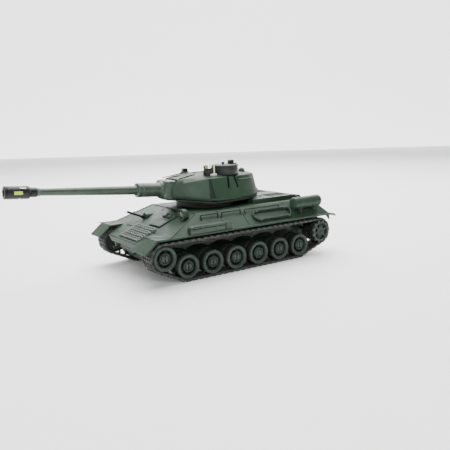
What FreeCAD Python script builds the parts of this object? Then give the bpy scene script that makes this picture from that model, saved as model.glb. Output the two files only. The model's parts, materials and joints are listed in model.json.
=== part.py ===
"""Radio-controlled model tank: +X forward, +Y to the tank's left, +Z up, millimetres.

The origin is on the ground under the middle of the model's overall length. The sheet "Sizes"
holds the driving dimensions, and every piece is bound to it.
"""
import FreeCAD, Part
import math
import os
import re
from FreeCAD import Placement, Rotation, Vector
from Sketcher import Constraint

doc = FreeCAD.newDocument("model_tank")
sheet = doc.addObject("Spreadsheet::Sheet", "Sizes")

SIZES = {
    # overall
    "overall_length": 332, "ground_gap": 9, "wall": 1.8, "fender_half": 63.8, "fender_top": 44,
    "fender_thick": 1.5, "slack": 0.4,
    # running gear
    "wheel_pitch": 27.5, "front_wheel_x": 24, "wheel_z": 14.8, "wheel_rad": 11.6,
    "idler_x": 47.9, "idler_z": 25.7, "sprocket_x": -143.8, "sprocket_z": 25.4,
    "wheel_inner": 44.4, "wheel_outer": 62.4, "axle_rad": 1.5, "running_gap": 0.05,
    "belt_inner_rad": 11.8, "belt_web": 1.5, "belt_thick": 3, "belt_in": 43.4, "belt_out": 61.6,
    "guide_in": 51.9, "guide_out": 54.5, "guide_height": 2.6, "teeth": 12, "links": 67,
    "tooth_rad": 13.3,
    # hull
    "roof_z": 60, "roof_front_x": 4.3, "roof_rear_x": -145, "roof_half": 44, "side_foot_half": 61,
    "nose_x": 60.4, "nose_z": 35.5, "nose_low_z": 30.5, "nose_half": 29, "rear_foot_x": -158,
    "tub_half": 30.8, "tub_rear_x": -152, "skirt_in": 31.4, "skirt_out": 32.9, "skirt_z": 27.6,
    "skirt_rear_x": -128, "skirt_front_x": 41.8, "arch_rad": 28.8, "well_half": 41.6, "lip": 1.4,
    "mudguard_bend_x": 55.9, "mudguard_tip_x": 69, "mudguard_tip_z": 33.2, "mudguard_in": 41,
    # pieces on the front plate, measured down the plate from the roof edge
    "spare_y": 5.5, "spare_start": 34.6, "spare_half": 20.5, "spare_pitch": 6,
    "hatch_start": 12, "hatch_len": 19.5, "hatch_in": 5, "hatch_out": 25,
    "bow_gun_x": 29.2, "bow_gun_y": -20, "bow_gun_z": 51, "bow_gun_rad": 4.5, "bow_gun_rise": 27,
    "lamp_x": 15.5, "lamp_y": 41.5, "lamp_z": 60.3, "lamp_rad": 5.3, "lens_rad": 4,
    # turret
    "turret_x": -36, "turret_low_z": 67.4, "turret_top_z": 92.4, "neck_rad": 26, "collar_rad": 31,
    "undercut_x": -24, "undercut_z": 71.7, "undercut_slope": 0.12, "floor_thick": 1.6,
    "gear_module": 1, "ring_teeth": 56, "pinion_teeth": 10, "gear_high_z": 57.6, "gear_face": 4,
    "cupola_x": -50, "cupola_y": 17, "cupola_rad": 14.5, "cupola_z": 102.3, "seat": 0.02,
    "sensor_x": -27.5, "sensor_y": 20, "sensor_rad": 4.6, "dome_x": -75.5, "dome_y": 12, "dome_rad": 3.6,
    # gun, measured along its own axis from the trunnion
    "trunnion_x": -6, "trunnion_z": 78.88, "gun_rise": 4.17, "shield_rad": 23.5, "shield_half": 11.8,
    "sleeve_rad": 6.95, "sleeve_reach": 49.8, "barrel_rad": 4.4, "barrel_tip_rad": 3.1,
    "brake_rad": 5.7, "brake_len": 21, "collar_len": 6.4, "brake_collar_rad": 4.3,
    "trunnion_rad": 2,
    # stowage
    "drum_rad": 6.3, "drum_len": 38, "drum_x": -128.6, "drum_y": 55, "drum_z": 58.8,
    "deck_rise": 4.7, "deck_half": 34.3, "deck_rear_x": -132, "deck_front_x": -74, "louvre_pitch": 4.6,
    "box_len": 46, "box_x": -2, "box_low_z": 44.1, "box_high_z": 51.6, "box_width": 6.6,
    "rail_rad": 0.6, "rail_stand": 2.4, "cable_rad": 1.2, "pipe_rad": 3, "hook_y": 20,
    # inside
    "gearbox_rear_x": -147, "gearbox_front_x": -126, "gearbox_half": 28, "motor_rad": 8, "motor_len": 28,
    "battery_rear_x": -70, "battery_front_x": -12, "battery_half": 14, "battery_high_z": 27,
    "board_z": 38, "board_thick": 1.6, "board_half": 26, "board_rear_x": -57, "board_front_x": 4,
    "speaker_x": 24, "speaker_rad": 13, "door_rear_x": -72, "door_front_x": -8, "door_half": 17,
    "switch_x": 12, "switch_throw": 2.2, "ear_y": 14, "turret_motor_rad": 9,
}
for line, (alias, number) in enumerate(SIZES.items(), 1):
    sheet.set(f"A{line}", alias)
    sheet.set(f"B{line}", str(number))
    sheet.setAlias(f"B{line}", alias)
doc.recompute()


def bound(text):
    """An expression in which each driving dimension is read from the sheet."""
    return re.sub(r"[a-z_]+[a-z]", lambda m: "Sizes." + m[0] if m[0] in SIZES else m[0], str(text))


def size(text):
    """The present value of an expression over the driving dimensions."""
    return float(sheet.evalExpression(bound(text)))


def bind(thing, **properties):
    """Bind properties; two underscores in a name stand for a dot."""
    for name, text in properties.items():
        thing.setExpression(name.replace("__", "."), bound(text))
    return thing


def place(thing, x=0, y=0, z=0, turn=None):
    """Place a piece at sheet-driven coordinates, turned by (axis, degrees) where given."""
    if turn:
        axis, angle = turn
        thing.Placement = Placement(Vector(0, 0, 0), Rotation(axis, size(angle)))
        bind(thing, Placement__Rotation__Angle=f"({angle}) * 1 deg")
    return bind(thing, Placement__Base__x=x, Placement__Base__y=y, Placement__Base__z=z)


X, Y, Z = Vector(1, 0, 0), Vector(0, 1, 0), Vector(0, 0, 1)
PLANES = {"XY": "XY_Plane", "XZ": "XZ_Plane", "YZ": "YZ_Plane"}
pieces = []


def piece(thing, name):
    """Register a finished sub-part under its own label."""
    thing.Label = name
    pieces.append(thing)
    return thing


def new_body(name):
    return doc.addObject("PartDesign::Body", name)


def sketch_on(body, plane, offset=0):
    """An empty sketch on one of the body's own origin planes, moved along its normal."""
    sketch = body.newObject("Sketcher::SketchObject", body.Name + "_sketch")
    support = next(f for f in body.Origin.OriginFeatures if f.Role == PLANES[plane])
    sketch.AttachmentSupport = [(support, "")]
    sketch.MapMode = "FlatFace"
    return bind(sketch, AttachmentOffset__Base__z=offset)


def draw_outline(sketch, points):
    """A closed outline whose corners are each held by two bound distances from the origin."""
    places = [Vector(size(u), size(v), 0) for u, v in points]
    for index, start in enumerate(places):
        sketch.addGeometry(Part.LineSegment(start, places[(index + 1) % len(places)]))
    for index, (u, v) in enumerate(points):
        sketch.addConstraint(Constraint("Coincident", index, 2, (index + 1) % len(points), 1))
        for kind, text, value in (("DistanceX", u, places[index].x), ("DistanceY", v, places[index].y)):
            number = sketch.addConstraint(Constraint(kind, -1, 1, index, 1, value))
            sketch.setExpression(f"Constraints[{number}]", bound(text))


def pad(name, plane, points, low, high, body=None):
    """Pad an outline from low to high along the plane's normal."""
    body = body or new_body(name)
    sketch = sketch_on(body, plane, low)
    draw_outline(sketch, points)
    feature = body.newObject("PartDesign::Pad", name + "_pad")
    feature.Profile = sketch
    bind(feature, Length=f"({high}) - ({low})")
    body.Tip = feature
    return body


def lathe(name, outline):
    """Turn an outline of (along Y, radius) pairs about the Y axis."""
    body = new_body(name)
    sketch = sketch_on(body, "YZ")
    draw_outline(sketch, outline)
    feature = body.newObject("PartDesign::Revolution", name + "_turned")
    feature.Profile = sketch
    feature.ReferenceAxis = (sketch, ["H_Axis"])
    feature.Angle = 360
    body.Tip = feature
    return body


def box(name, x, y, z):
    """A block between (low, high) bounds on each axis."""
    block = doc.addObject("Part::Box", name)
    bind(block, Length=f"({x[1]}) - ({x[0]})", Width=f"({y[1]}) - ({y[0]})",
         Height=f"({z[1]}) - ({z[0]})")
    return place(block, x[0], y[0], z[0])


def rod(name, radius, length, start, along=Z):
    """A round bar from a start point along +X, +Y or +Z."""
    bar = doc.addObject("Part::Cylinder", name)
    bind(bar, Radius=radius, Height=length)
    if along is X:
        return place(bar, *start, turn=(Y, 90))
    if along is Y:
        return place(bar, *start, turn=(X, -90))
    return place(bar, *start)


def joined(name, kind, *parts):
    """A boolean of several pieces: Fuse or Common."""
    whole = doc.addObject("Part::Multi" + kind, name)
    whole.Shapes = list(parts)
    return whole


def cut(name, base, *tools):
    """A base with each tool removed."""
    result = doc.addObject("Part::Cut", name)
    result.Base = base
    result.Tool = tools[0] if len(tools) == 1 else joined(name + "_tools", "Fuse", *tools)
    return result


def group(name, *parts):
    """Separate solids kept together in one node."""
    whole = doc.addObject("Part::Compound", name)
    whole.Links = list(parts)
    return whole


def mirrored(name, source):
    """The mirror image of a piece on the tank's other side."""
    image = doc.addObject("Part::Mirroring", name)
    image.Source = source
    image.Base = Vector(0, 0, 0)
    image.Normal = Y
    return image


# ---------------------------------------------------------------- hull

def hull_block(name, inset):
    """The sloped upper hull as the overlap of its side, end and plan outlines, inset all round."""
    side = pad(name + "_side", "XZ", [
        (f"nose_x - 1.5*({inset})", f"nose_z - ({inset})"),
        ("roof_front_x", f"roof_z - ({inset})"), (f"roof_rear_x + 0.5*({inset})", f"roof_z - ({inset})"),
        (f"rear_foot_x + ({inset})", f"fender_top - ({inset})/3"),
        (f"rear_foot_x + ({inset})", "fender_top - lip"), ("40", "fender_top - lip"),
        (f"nose_x - 1.5*({inset})", f"nose_low_z + ({inset})/3")],
        "-fender_half", "fender_half")
    ends = pad(name + "_ends", "YZ", [
        (f"side_foot_half - ({inset})", "fender_top - lip"), (f"side_foot_half - ({inset})", "fender_top"),
        (f"roof_half - 0.5*({inset})", f"roof_z - ({inset})"),
        (f"-roof_half + 0.5*({inset})", f"roof_z - ({inset})"),
        (f"-side_foot_half + ({inset})", "fender_top"),
        (f"-side_foot_half + ({inset})", "fender_top - lip"),
        (f"-well_half + ({inset})", "fender_top - lip"), (f"-well_half + ({inset})", "fender_top - 4"),
        (f"-nose_half + ({inset})", "nose_low_z"), (f"nose_half - ({inset})", "nose_low_z"),
        (f"well_half - ({inset})", "fender_top - 4"), (f"well_half - ({inset})", "fender_top - lip")],
        "rear_foot_x", "nose_x + 1")
    return joined(name, "Common", side, ends)


def fender(name):
    """The left fender: flat plate, sloped mudguard, tail flap and arched skirt."""
    plate = pad(name + "_plate", "XZ", [
        ("-overall_length/2", "fender_top - 4.2"), ("-overall_length/2", "fender_top - 3"),
        ("-overall_length/2 + 3", "fender_top - 0.8"), ("-overall_length/2 + 8", "fender_top"),
        ("mudguard_bend_x", "fender_top"), ("mudguard_tip_x", "mudguard_tip_z"),
        ("mudguard_tip_x - 1", "mudguard_tip_z - 1"),
        ("mudguard_bend_x - 0.6", "fender_top - fender_thick"),
        ("-overall_length/2 + 8", "fender_top - fender_thick"),
        ("-overall_length/2 + 3.4", "fender_top - fender_thick - 0.8")],
        "-fender_half", "-mudguard_in + 1")
    skirt = pad(name + "_skirt", "XZ", [
        ("skirt_rear_x", "skirt_z - 3.4"), ("skirt_rear_x", "fender_top - 1"),
        ("skirt_front_x", "fender_top - 1"), ("skirt_front_x", "skirt_z"),
        ("skirt_front_x - 3.8", "skirt_z - 3.4")],
        "-skirt_out", "-skirt_in")
    arches = []
    for index in range(6):
        arches.append(rod(f"{name}_arch_{index}", "arch_rad", "6",
                          (f"front_wheel_x - {index}*wheel_pitch", "skirt_in - 2",
                           "skirt_z - arch_rad"), Y))
    return joined(name, "Fuse", plate, cut(name + "_skirt_cut", skirt, *arches))


left_fender = fender("left_fender")
hull_solid = joined("hull_solid", "Fuse", hull_block("hull_outer", "0"), left_fender,
                    mirrored("right_fender", left_fender))
piece(cut("hull_shell_body", hull_solid,
          joined("hull_cavity", "Fuse",
                 joined("hull_cavity_high", "Common", hull_block("hull_inner", "wall"),
                        box("above_fender", ("rear_foot_x", "nose_x"), ("-fender_half", "fender_half"),
                            ("fender_top", "roof_z + 1"))),
                 box("belly_gap", ("tub_rear_x + 0.2", "42"), ("-skirt_in + 0.1", "skirt_in - 0.1"),
                     ("nose_low_z - 4", "fender_top + 0.2"))),
          rod("turret_hole", "neck_rad + slack", "8", ("turret_x", "0", "roof_z - 5"))),
      "hull_upper_shell")

tub_outline = [("tub_rear_x + 0.6", "ground_gap + 6"), ("tub_rear_x + 8", "ground_gap"),
               ("36", "ground_gap"), ("nose_x - 3", "nose_low_z - 0.4"), ("44", "nose_low_z - 0.4"),
               ("41.6", "fender_top - 0.6"), ("tub_rear_x + 0.6", "fender_top - 0.6")]
tub_room = [("tub_rear_x + 2.4", "ground_gap + 7"), ("tub_rear_x + 9", "ground_gap + wall"),
            ("35", "ground_gap + wall"), ("39.8", "ground_gap + 12"), ("39.8", "fender_top"),
            ("tub_rear_x + 2.4", "fender_top")]
SCREWS = [(x, y) for x in ("28", "-90", "-138") for y in ("24", "-24")]


def screw(name, x, y):
    """A self-tapping screw driven up through the belly, its head proud of it."""
    return joined(name, "Fuse", rod(name + "_shank", "1.2", "6", (x, y, "ground_gap - 0.3")),
                  rod(name + "_head", "2.4", "1.2", (x, y, "ground_gap - 0.8")))


tub_solid = pad("tub_solid", "XZ", tub_outline, "-tub_half", "tub_half")
axle_spots = [(f"front_wheel_x - {n}*wheel_pitch", "wheel_z") for n in range(6)]
axle_spots += [("idler_x", "idler_z"), ("sprocket_x", "sprocket_z")]
bow_wings = pad("tub_bow_wings", "XZ", [
    ("41", "ground_gap + 8"), ("idler_x + 4", "idler_z - 3"), ("idler_x + 4", "nose_low_z - 0.5"),
    ("41", "nose_low_z - 0.5")], "-tub_half", "tub_half")
axle_holes = [rod(f"axle_hole_{n}", "axle_rad" if n < len(axle_spots) - 1 else "axle_rad + running_gap",
                  "2*tub_half + 8", (x, "-tub_half - 4", z), Y) for n, (x, z) in enumerate(axle_spots)]
screws = [screw(f"screw_{n}", x, y) for n, (x, y) in enumerate(SCREWS)]
piece(cut("tub_body", joined("tub_whole", "Fuse", tub_solid, bow_wings),
          joined("tub_openings", "Fuse",
                 pad("tub_room", "XZ", tub_room, "-tub_half + wall", "tub_half - wall"),
                 box("door_hole", ("door_rear_x + 1.5", "door_front_x - 1.5"),
                     ("1.5 - door_half", "door_half - 1.5"), ("ground_gap - 1", "ground_gap + 3")),
                 box("door_seat", ("door_rear_x", "door_front_x"), ("-door_half", "door_half"),
                     ("ground_gap - 1", "ground_gap + 0.9")),
                 box("switch_slot", ("switch_x - 2*switch_throw", "switch_x + 2*switch_throw"),
                     ("-2.2", "2.2"), ("ground_gap - 1", "ground_gap + 3")),
                 *axle_holes, *screws)),
      "hull_lower_tub")
piece(group("screws_body", *screws), "hull_screws")

GLACIS_TURN = "atan((roof_z - nose_z)/(nose_x - roof_front_x))/1deg"


def on_glacis(name, kind, *parts):
    """Pieces modelled flat, x forward and z up, then laid on the sloping front plate."""
    whole = group(name, *parts) if kind == "group" else joined(name, kind, *parts)
    return place(whole, "roof_front_x", "0", "roof_z + seat", turn=(Y, GLACIS_TURN))


links = [box(f"spare_link_{n}",
             (f"spare_start + spare_pitch*{n}", f"spare_start + spare_pitch*{n} + 5.4"),
             ("spare_y - spare_half", "spare_y + spare_half"), ("0", "2")) for n in range(4)]
backing = box("spare_backing", ("spare_start", "spare_start + 4*spare_pitch - 0.6"),
              ("spare_y - spare_half + 1", "spare_y + spare_half - 1"), ("0", "1"))
piece(on_glacis("spare_track_body", "Fuse", backing, *links), "spare_track_plate")
piece(on_glacis("driver_hatch_body", "Fuse",
                box("hatch_lid", ("hatch_start", "hatch_start + hatch_len"), ("hatch_in", "hatch_out"),
                    ("0", "1.1")),
                *[box(f"hatch_hood_{n}", ("hatch_start + 0.6", "hatch_start + 3.4"),
                      (f"hatch_in + {offset}", f"hatch_in + {offset} + 5"), ("1", "2.8"))
                  for n, offset in enumerate(("2.5", "12.5"))]), "driver_hatch")
gun_ball = doc.addObject("Part::Sphere", "bow_gun_ball")
bind(gun_ball, Radius="bow_gun_rad - 0.7")
hood = cut("bow_gun_hood",
           rod("bow_gun_case", "bow_gun_rad", "17", ("bow_gun_x - 17", "bow_gun_y", "bow_gun_z"), X),
           hull_solid)
bow_mount = joined("bow_gun_mount_body", "Fuse", hood,
                   place(gun_ball, "bow_gun_x", "bow_gun_y", "bow_gun_z"))
piece(bow_mount, "bow_gun_mount")
bow_tube = place(rod("bow_gun_tube", "0.9", "18", ("0", "0", "0")),
                 "bow_gun_x", "bow_gun_y", "bow_gun_z", turn=(Y, "90 - bow_gun_rise"))
piece(cut("bow_gun_barrel_body", bow_tube, bow_mount), "bow_gun_barrel")

lamp_ball = doc.addObject("Part::Sphere", "lamp_ball")
bind(lamp_ball, Radius="lamp_rad")
lamp_shell = joined("lamp_shell", "Common", place(lamp_ball, "lamp_x", "lamp_y", "lamp_z"),
                    box("lamp_front_cut", ("lamp_x - 6", "lamp_x + 3"), ("lamp_y - 6", "lamp_y + 6"),
                        ("lamp_z - 6", "lamp_z + 6")))
lamp_stem = rod("lamp_stem", "2.2", "12", ("lamp_x", "lamp_y", "lamp_z - 14"))
piece(cut("headlight_body", joined("lamp_whole", "Fuse", lamp_shell, lamp_stem),
          rod("lamp_mouth", "lens_rad", "4", ("lamp_x + 1", "lamp_y", "lamp_z"), X), hull_solid),
      "headlight")
piece(rod("headlight_lens_body", "lens_rad", "2", ("lamp_x + 1", "lamp_y", "lamp_z"), X),
      "headlight_lens")

stowage = cut("stowage_box_left_body",
              box("stowage_block", ("box_x - box_len/2", "box_x + box_len/2"),
                  ("fender_half - 0.4 - box_width", "fender_half - 0.4"), ("box_low_z", "box_high_z")),
              hull_solid)
piece(stowage, "stowage_box_left")
piece(mirrored("stowage_box_right_body", stowage), "stowage_box_right")
cradles = [box(f"drum_cradle_{n}", (f"drum_x {offset}", f"drum_x {offset} + 3"),
               ("drum_y - 7", "drum_y + 5"), ("drum_z - 12", "drum_z - 4"))
           for n, offset in enumerate(("+ 8", "- 11"))]
drum = cut("fuel_drum_left_body",
           joined("drum_and_cradles", "Fuse",
                  rod("drum_tank", "drum_rad", "drum_len", ("drum_x - drum_len/2", "drum_y", "drum_z"), X),
                  *cradles), hull_solid)
piece(drum, "fuel_drum_left")
piece(mirrored("fuel_drum_right_body", drum), "fuel_drum_right")

deck = box("deck_block", ("deck_rear_x", "deck_front_x"), ("-deck_half", "deck_half"),
           ("roof_z + seat", "roof_z + deck_rise"))
slots = [box(f"louvre_{n}_{side}", (f"-100 - louvre_pitch*{n}", f"-98 - louvre_pitch*{n}"),
             (f"{side}*18 - 9", f"{side}*18 + 9"), ("roof_z + deck_rise - 1.6", "roof_z + 6"))
         for n in range(6) for side in (-1, 1)]
piece(cut("engine_deck_body", deck, *slots), "engine_deck")
piece(box("deck_cap_body", ("deck_rear_x - 9", "deck_rear_x - 3"), ("23", "34"),
          ("roof_z + seat", "roof_z + 3.6")), "deck_cap")

SIDE_SLOPE = "atan((roof_z - fender_top)/(side_foot_half - roof_half))/1deg"


def grab_rail(name, x_rear, x_front):
    """A rail on two feet, modelled standing on its plate: x along the hull, z away from the plate."""
    return joined(name, "Fuse",
                  rod(name + "_bar", "rail_rad", f"({x_front}) - ({x_rear})",
                      (x_rear, "0", "rail_stand"), X),
                  rod(name + "_foot_a", "rail_rad", "rail_stand", (f"({x_front}) - 1", "0", "0")),
                  rod(name + "_foot_b", "rail_rad", "rail_stand", (f"({x_rear}) + 1", "0", "0")))


rails = [grab_rail(f"hull_rail_{n}", rear, front) for n, (rear, front) in
         enumerate((("-18.5", "2"), ("-46", "-22"), ("-96", "-50")))]
left_rails = place(group("left_rails", *rails), "0", "roof_half + 3.52", "roof_z - 3.29",
                   turn=(X, f"-({SIDE_SLOPE})"))
piece(group("hull_grab_rails_body", left_rails, mirrored("right_rails", left_rails)), "hull_grab_rails")

hooks = [box(f"tow_hook_{n}", ("nose_x - 2.9", "nose_x - 0.3"),
             (f"{side}*hook_y - 1.5", f"{side}*hook_y + 1.5"), ("nose_low_z - 5.5", "nose_low_z"))
         for n, side in enumerate((-1, 1))]
piece(group("tow_hooks_body", *hooks), "tow_hooks")
pipes = [cut(f"exhaust_{n}",
             rod(f"exhaust_bar_{n}", "pipe_rad", "16", ("rear_foot_x - 5", f"{side}*16", "50"), X),
             hull_solid) for n, side in enumerate((-1, 1))]
piece(group("exhaust_pipes_body", *pipes), "exhaust_pipes")


def pipe_loop(name, radius, half_length, half_height, bend):
    """A cable lying in a rounded oblong: straight runs joined by four quarter turns."""
    reach, rise, turn = size(half_length), size(half_height), size(bend)
    edges = []
    for sx, sz in ((1, 1), (-1, 1), (-1, -1), (1, -1)):
        centre = Vector(sx*(reach - turn), 0, sz*(rise - turn))
        along, across = Vector(sx*turn, 0, 0), Vector(0, 0, sz*turn)
        first, last = (along, across) if sx*sz > 0 else (across, along)
        middle = (along + across).normalize()*turn
        edges.append(Part.Arc(centre + first, centre + middle, centre + last).toShape())
    route = []
    for number, edge in enumerate(edges):
        following = edges[(number + 1) % 4]
        route += [edge, Part.LineSegment(edge.valueAt(edge.LastParameter),
                                         following.valueAt(following.FirstParameter)).toShape()]
    wire = Part.Wire(route)
    start = route[1].valueAt(route[1].FirstParameter)
    section = Part.Wire(Part.Circle(start, X, size(radius)).toShape())
    loop = doc.addObject("Part::Feature", name)
    loop.Shape = wire.makePipeShell([section], True, False)
    return loop


cable = place(pipe_loop("tow_cable_loop", "cable_rad", "24.4", "5.6", "5.5"),
              "-82.4", "side_foot_half - 6.2", "fender_top + 7.5", turn=(X, f"90 - {SIDE_SLOPE}"))
piece(cable, "tow_cable")

# ---------------------------------------------------------------- running gear

WHEEL = [("wheel_inner", "axle_rad + running_gap"), ("59.2", "axle_rad + running_gap"), ("59.2", "0"),
         ("61.2", "0"), ("61.2", "4"), ("62", "4.3"), ("62", "5.3"), ("59.8", "5.8"), ("59.8", "9.2"),
         ("wheel_outer", "9.8"), ("wheel_outer", "wheel_rad - 0.5"), ("wheel_outer - 0.5", "wheel_rad"),
         ("guide_out + 0.5", "wheel_rad"), ("guide_out + 0.5", "belt_inner_rad - guide_height - 0.5"),
         ("guide_in - 0.5", "belt_inner_rad - guide_height - 0.5"), ("guide_in - 0.5", "wheel_rad"),
         ("wheel_inner", "wheel_rad")]
SPROCKET = [("22", "0"), ("62.4", "0"), ("62.4", "2.6"), ("61.6", "3.4"), ("60", "9.6"), ("61.9", "9.9"),
            ("63.1", "9.9"), ("63.1", "11"), ("61.9", "11"), ("belt_out", "belt_inner_rad - 0.5"),
            ("guide_out + 0.5", "belt_inner_rad - 0.5"), ("guide_out + 0.5", "8.7"),
            ("guide_in - 0.5", "8.7"), ("guide_in - 0.5", "belt_inner_rad - 0.5"),
            ("wheel_inner", "belt_inner_rad - 0.5"), ("wheel_inner", "axle_rad"), ("22", "axle_rad")]


def ray_outline(inner, outer, half_foot, half_tip):
    """A tooth that points along +X: narrower at its tip."""
    return [(inner, f"-({half_foot})"), (outer, f"-({half_tip})"), (outer, half_tip), (inner, half_foot)]


def sprocket(name):
    """The drive sprocket: drum, its shaft, outer star teeth and inner lobes between the guide horns."""
    star = pad(name + "_star", "XZ", ray_outline("10.2", "tooth_rad", "1.5", "0.7"), "-63.1", "-61.9")
    lobe = pad(name + "_lobe", "XZ", ray_outline("8", "belt_inner_rad - 1.8", "1.1", "0.9"),
               "-guide_out - 0.5", "-guide_in + 0.5")
    teeth = []
    for number in range(int(size("teeth"))):
        for source in (star, lobe):
            tooth = doc.addObject("Part::Feature", f"{source.Name}_{number}")
            doc.recompute([source])
            tooth.Shape = source.Shape.rotated(Vector(), Y, 360/size("teeth")*(number + 0.5))
            teeth.append(tooth)
    return joined(name, "Fuse", lathe(name + "_drum", SPROCKET), *teeth)


for side, turn in (("left", "0"), ("right", "180")):
    for number in range(6):
        name = f"road_wheel_{side}_{number + 1}"
        piece(place(lathe(name + "_body", WHEEL), f"front_wheel_x - {number}*wheel_pitch", "0", "wheel_z",
                    turn=(Z, turn)), name)
    piece(place(lathe(f"idler_{side}_body", WHEEL), "idler_x", "0", "idler_z", turn=(Z, turn)),
          f"idler_wheel_{side}")
    piece(place(sprocket(f"sprocket_{side}_body"), "sprocket_x", "0", "sprocket_z", turn=(Z, turn)),
          f"sprocket_{side}")

pins = [rod(f"axle_{n}_{side}", "axle_rad", "59 - tub_half + 3.4", (x, low, z), Y)
        for n, (x, z) in enumerate(axle_spots[:-1])
        for side, low in (("left", "tub_half - 3.4"), ("right", "-59"))]
piece(group("axle_pins_body", *pins), "axle_pins")

CORNERS = [("sprocket_x", "sprocket_z"), ("front_wheel_x - 5*wheel_pitch", "wheel_z"),
           ("front_wheel_x", "wheel_z"), ("idler_x", "idler_z")]


def belt_legs(radius):
    """The belt's bends and straight runs at one radius, as (length, hub, heading, is a bend)."""
    hubs = [Vector(size(x), 0, size(z)) for x, z in CORNERS]
    legs = []
    for number, hub in enumerate(hubs):
        before, after = hub - hubs[number - 1], hubs[(number + 1) % 4] - hub
        came, goes = math.atan2(before.z, before.x), math.atan2(after.z, after.x)
        legs.append(((goes - came) % (2*math.pi)*radius, hub, came, True))
        legs.append((after.Length, hub, goes, False))
    return legs


def belt_spot(leg, distance, radius):
    """The point and heading at a distance along one leg."""
    length, hub, heading, bend = leg
    if bend:
        heading += distance/radius
    outward = Vector(math.sin(heading), 0, -math.cos(heading))*radius
    ahead = Vector() if bend else Vector(math.cos(heading), 0, math.sin(heading))*distance
    return hub + outward + ahead, heading


def belt_face(radius):
    """The flat region inside the belt's path at one radius."""
    edges = []
    for leg in belt_legs(radius):
        start, middle, end = (belt_spot(leg, leg[0]*part, radius)[0] for part in (0, 0.5, 1))
        run = Part.Arc(start, middle, end) if leg[3] else Part.LineSegment(start, end)
        edges.append(run.toShape())
    return Part.Face(Part.Wire(edges))


def belt_stations(radius, count):
    """Evenly spaced links from the sprocket's rearmost point, as (point, heading)."""
    legs = belt_legs(radius)
    pitch = sum(leg[0] for leg in legs)/count
    spots, ahead, leg = [], radius*math.pi/2, 0
    for _ in range(count):
        while ahead > legs[leg][0]:
            ahead -= legs[leg][0]
            leg = (leg + 1) % len(legs)
        spots.append(belt_spot(legs[leg], ahead, radius))
        ahead += pitch
    return spots


def track(name, sign):
    """One closed rubber track: web, outer pads and the row of guide horns, on one side."""
    inner, thick, web = size("belt_inner_rad"), size("belt_thick"), size("belt_web")
    low, high = sorted((sign*size("belt_in"), sign*size("belt_out")))
    horn_low, horn_high = sorted((sign*size("guide_in"), sign*size("guide_out")))
    ring = belt_face(inner + web).cut(belt_face(inner)).extrude(Vector(0, high - low, 0))
    ring.translate(Vector(0, low, 0))
    middle = inner + web
    lumps = []
    for spot, heading in belt_stations(middle, int(size("links"))):
        lug = Part.makeBox(5.2, high - low, thick - web + 0.3, Vector(-2.6, low, -(thick - web)))
        horn = Part.makeBox(2.4, horn_high - horn_low, size("guide_height") + web*0.8,
                            Vector(-1.2, horn_low, web*0.2))
        for lump in (lug, horn):
            lump.Placement = Placement(Vector(spot.x, 0, spot.z), Rotation(Y, -math.degrees(heading)))
            lumps.append(lump)
    belt = doc.addObject("Part::Feature", name + "_body")
    outer = belt_face(inner + thick).extrude(Vector(0, high - low, 0))
    outer.translate(Vector(0, low, 0))
    belt.Shape = ring.fuse(lumps).common(outer).removeSplitter()
    return piece(belt, name)


track("track_left", 1)
track("track_right", -1)

# ---------------------------------------------------------------- inside the hull

gearbox = box("gearbox_case", ("gearbox_rear_x", "gearbox_front_x"), ("-gearbox_half", "gearbox_half"),
              ("16.5", "39"))
shaft_bore = rod("gearbox_bore", "axle_rad + running_gap", "80", ("sprocket_x", "-40", "sprocket_z"), Y)
piece(cut("gearbox_body", gearbox, shaft_bore), "drive_gearbox")
motors = [rod(f"motor_{n}", "motor_rad", "motor_len", ("gearbox_front_x + 0.1", f"{side}*18", "25"), X)
          for n, side in enumerate((-1, 1))]
piece(group("motors_body", *motors), "drive_motors")
piece(box("battery_body", ("battery_rear_x", "battery_front_x"), ("-battery_half", "battery_half"),
          ("12.2", "battery_high_z")), "battery_pack")
door = joined("door_whole", "Fuse",
              box("door_plate", ("door_rear_x + 0.2", "door_front_x - 0.2"),
                  ("0.2 - door_half", "door_half - 0.2"), ("ground_gap - 0.2", "ground_gap + 0.8")),
              box("door_rib", ("door_rear_x + 8", "door_front_x - 8"), ("-10", "10"),
                  ("ground_gap + 0.7", "ground_gap + 2")))
door_screw_hole = rod("door_screw_hole", "1.6", "6", ("door_front_x - 4", "0", "ground_gap - 2"))
piece(cut("battery_door_body", door, door_screw_hole), "battery_door")
piece(box("board_body", ("board_rear_x", "board_front_x"), ("-board_half", "board_half"),
          ("board_z", "board_z + board_thick")), "circuit_board")
piece(rod("speaker_body", "speaker_rad", "7", ("speaker_x", "0", "24")), "speaker")
piece(joined("switch_body", "Fuse",
             box("switch_knob", ("switch_x - switch_throw", "switch_x + switch_throw"), ("-1.9", "1.9"),
                 ("ground_gap - 1.2", "ground_gap + 2.4")),
             box("switch_plate", ("switch_x - 5", "switch_x + 5"), ("-3.6", "3.6"),
                 ("ground_gap + wall + 0.3", "ground_gap + wall + 1.4"))), "power_switch")

# ---------------------------------------------------------------- turret drive

def gear_outline(module, teeth, tip, root, gap, phase):
    """A spur gear's outline with involute flanks, thinned by gap at the pitch circle."""
    pitch = module*teeth/2
    base = pitch*math.cos(math.radians(20))
    half = math.pi/2/teeth - gap/2/pitch + math.tan(math.radians(20)) - math.radians(20)
    corners = []
    for number in range(teeth):
        middle = 2*math.pi*(number + phase)/teeth
        flank = []
        for step in range(5):
            radius = max(root, base) + (tip - max(root, base))*step/4
            roll = math.sqrt(max((radius/base)**2 - 1, 0))
            flank.append((radius, half - (roll - math.atan(roll))))
        if root < base:
            flank.insert(0, (root, half))
        for radius, angle in flank:
            corners.append((radius, middle - angle))
        for radius, angle in reversed(flank):
            corners.append((radius, middle + angle))
    points = [Vector(r*math.cos(a), r*math.sin(a), 0) for r, a in corners]
    return Part.makePolygon(points + points[:1])


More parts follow.
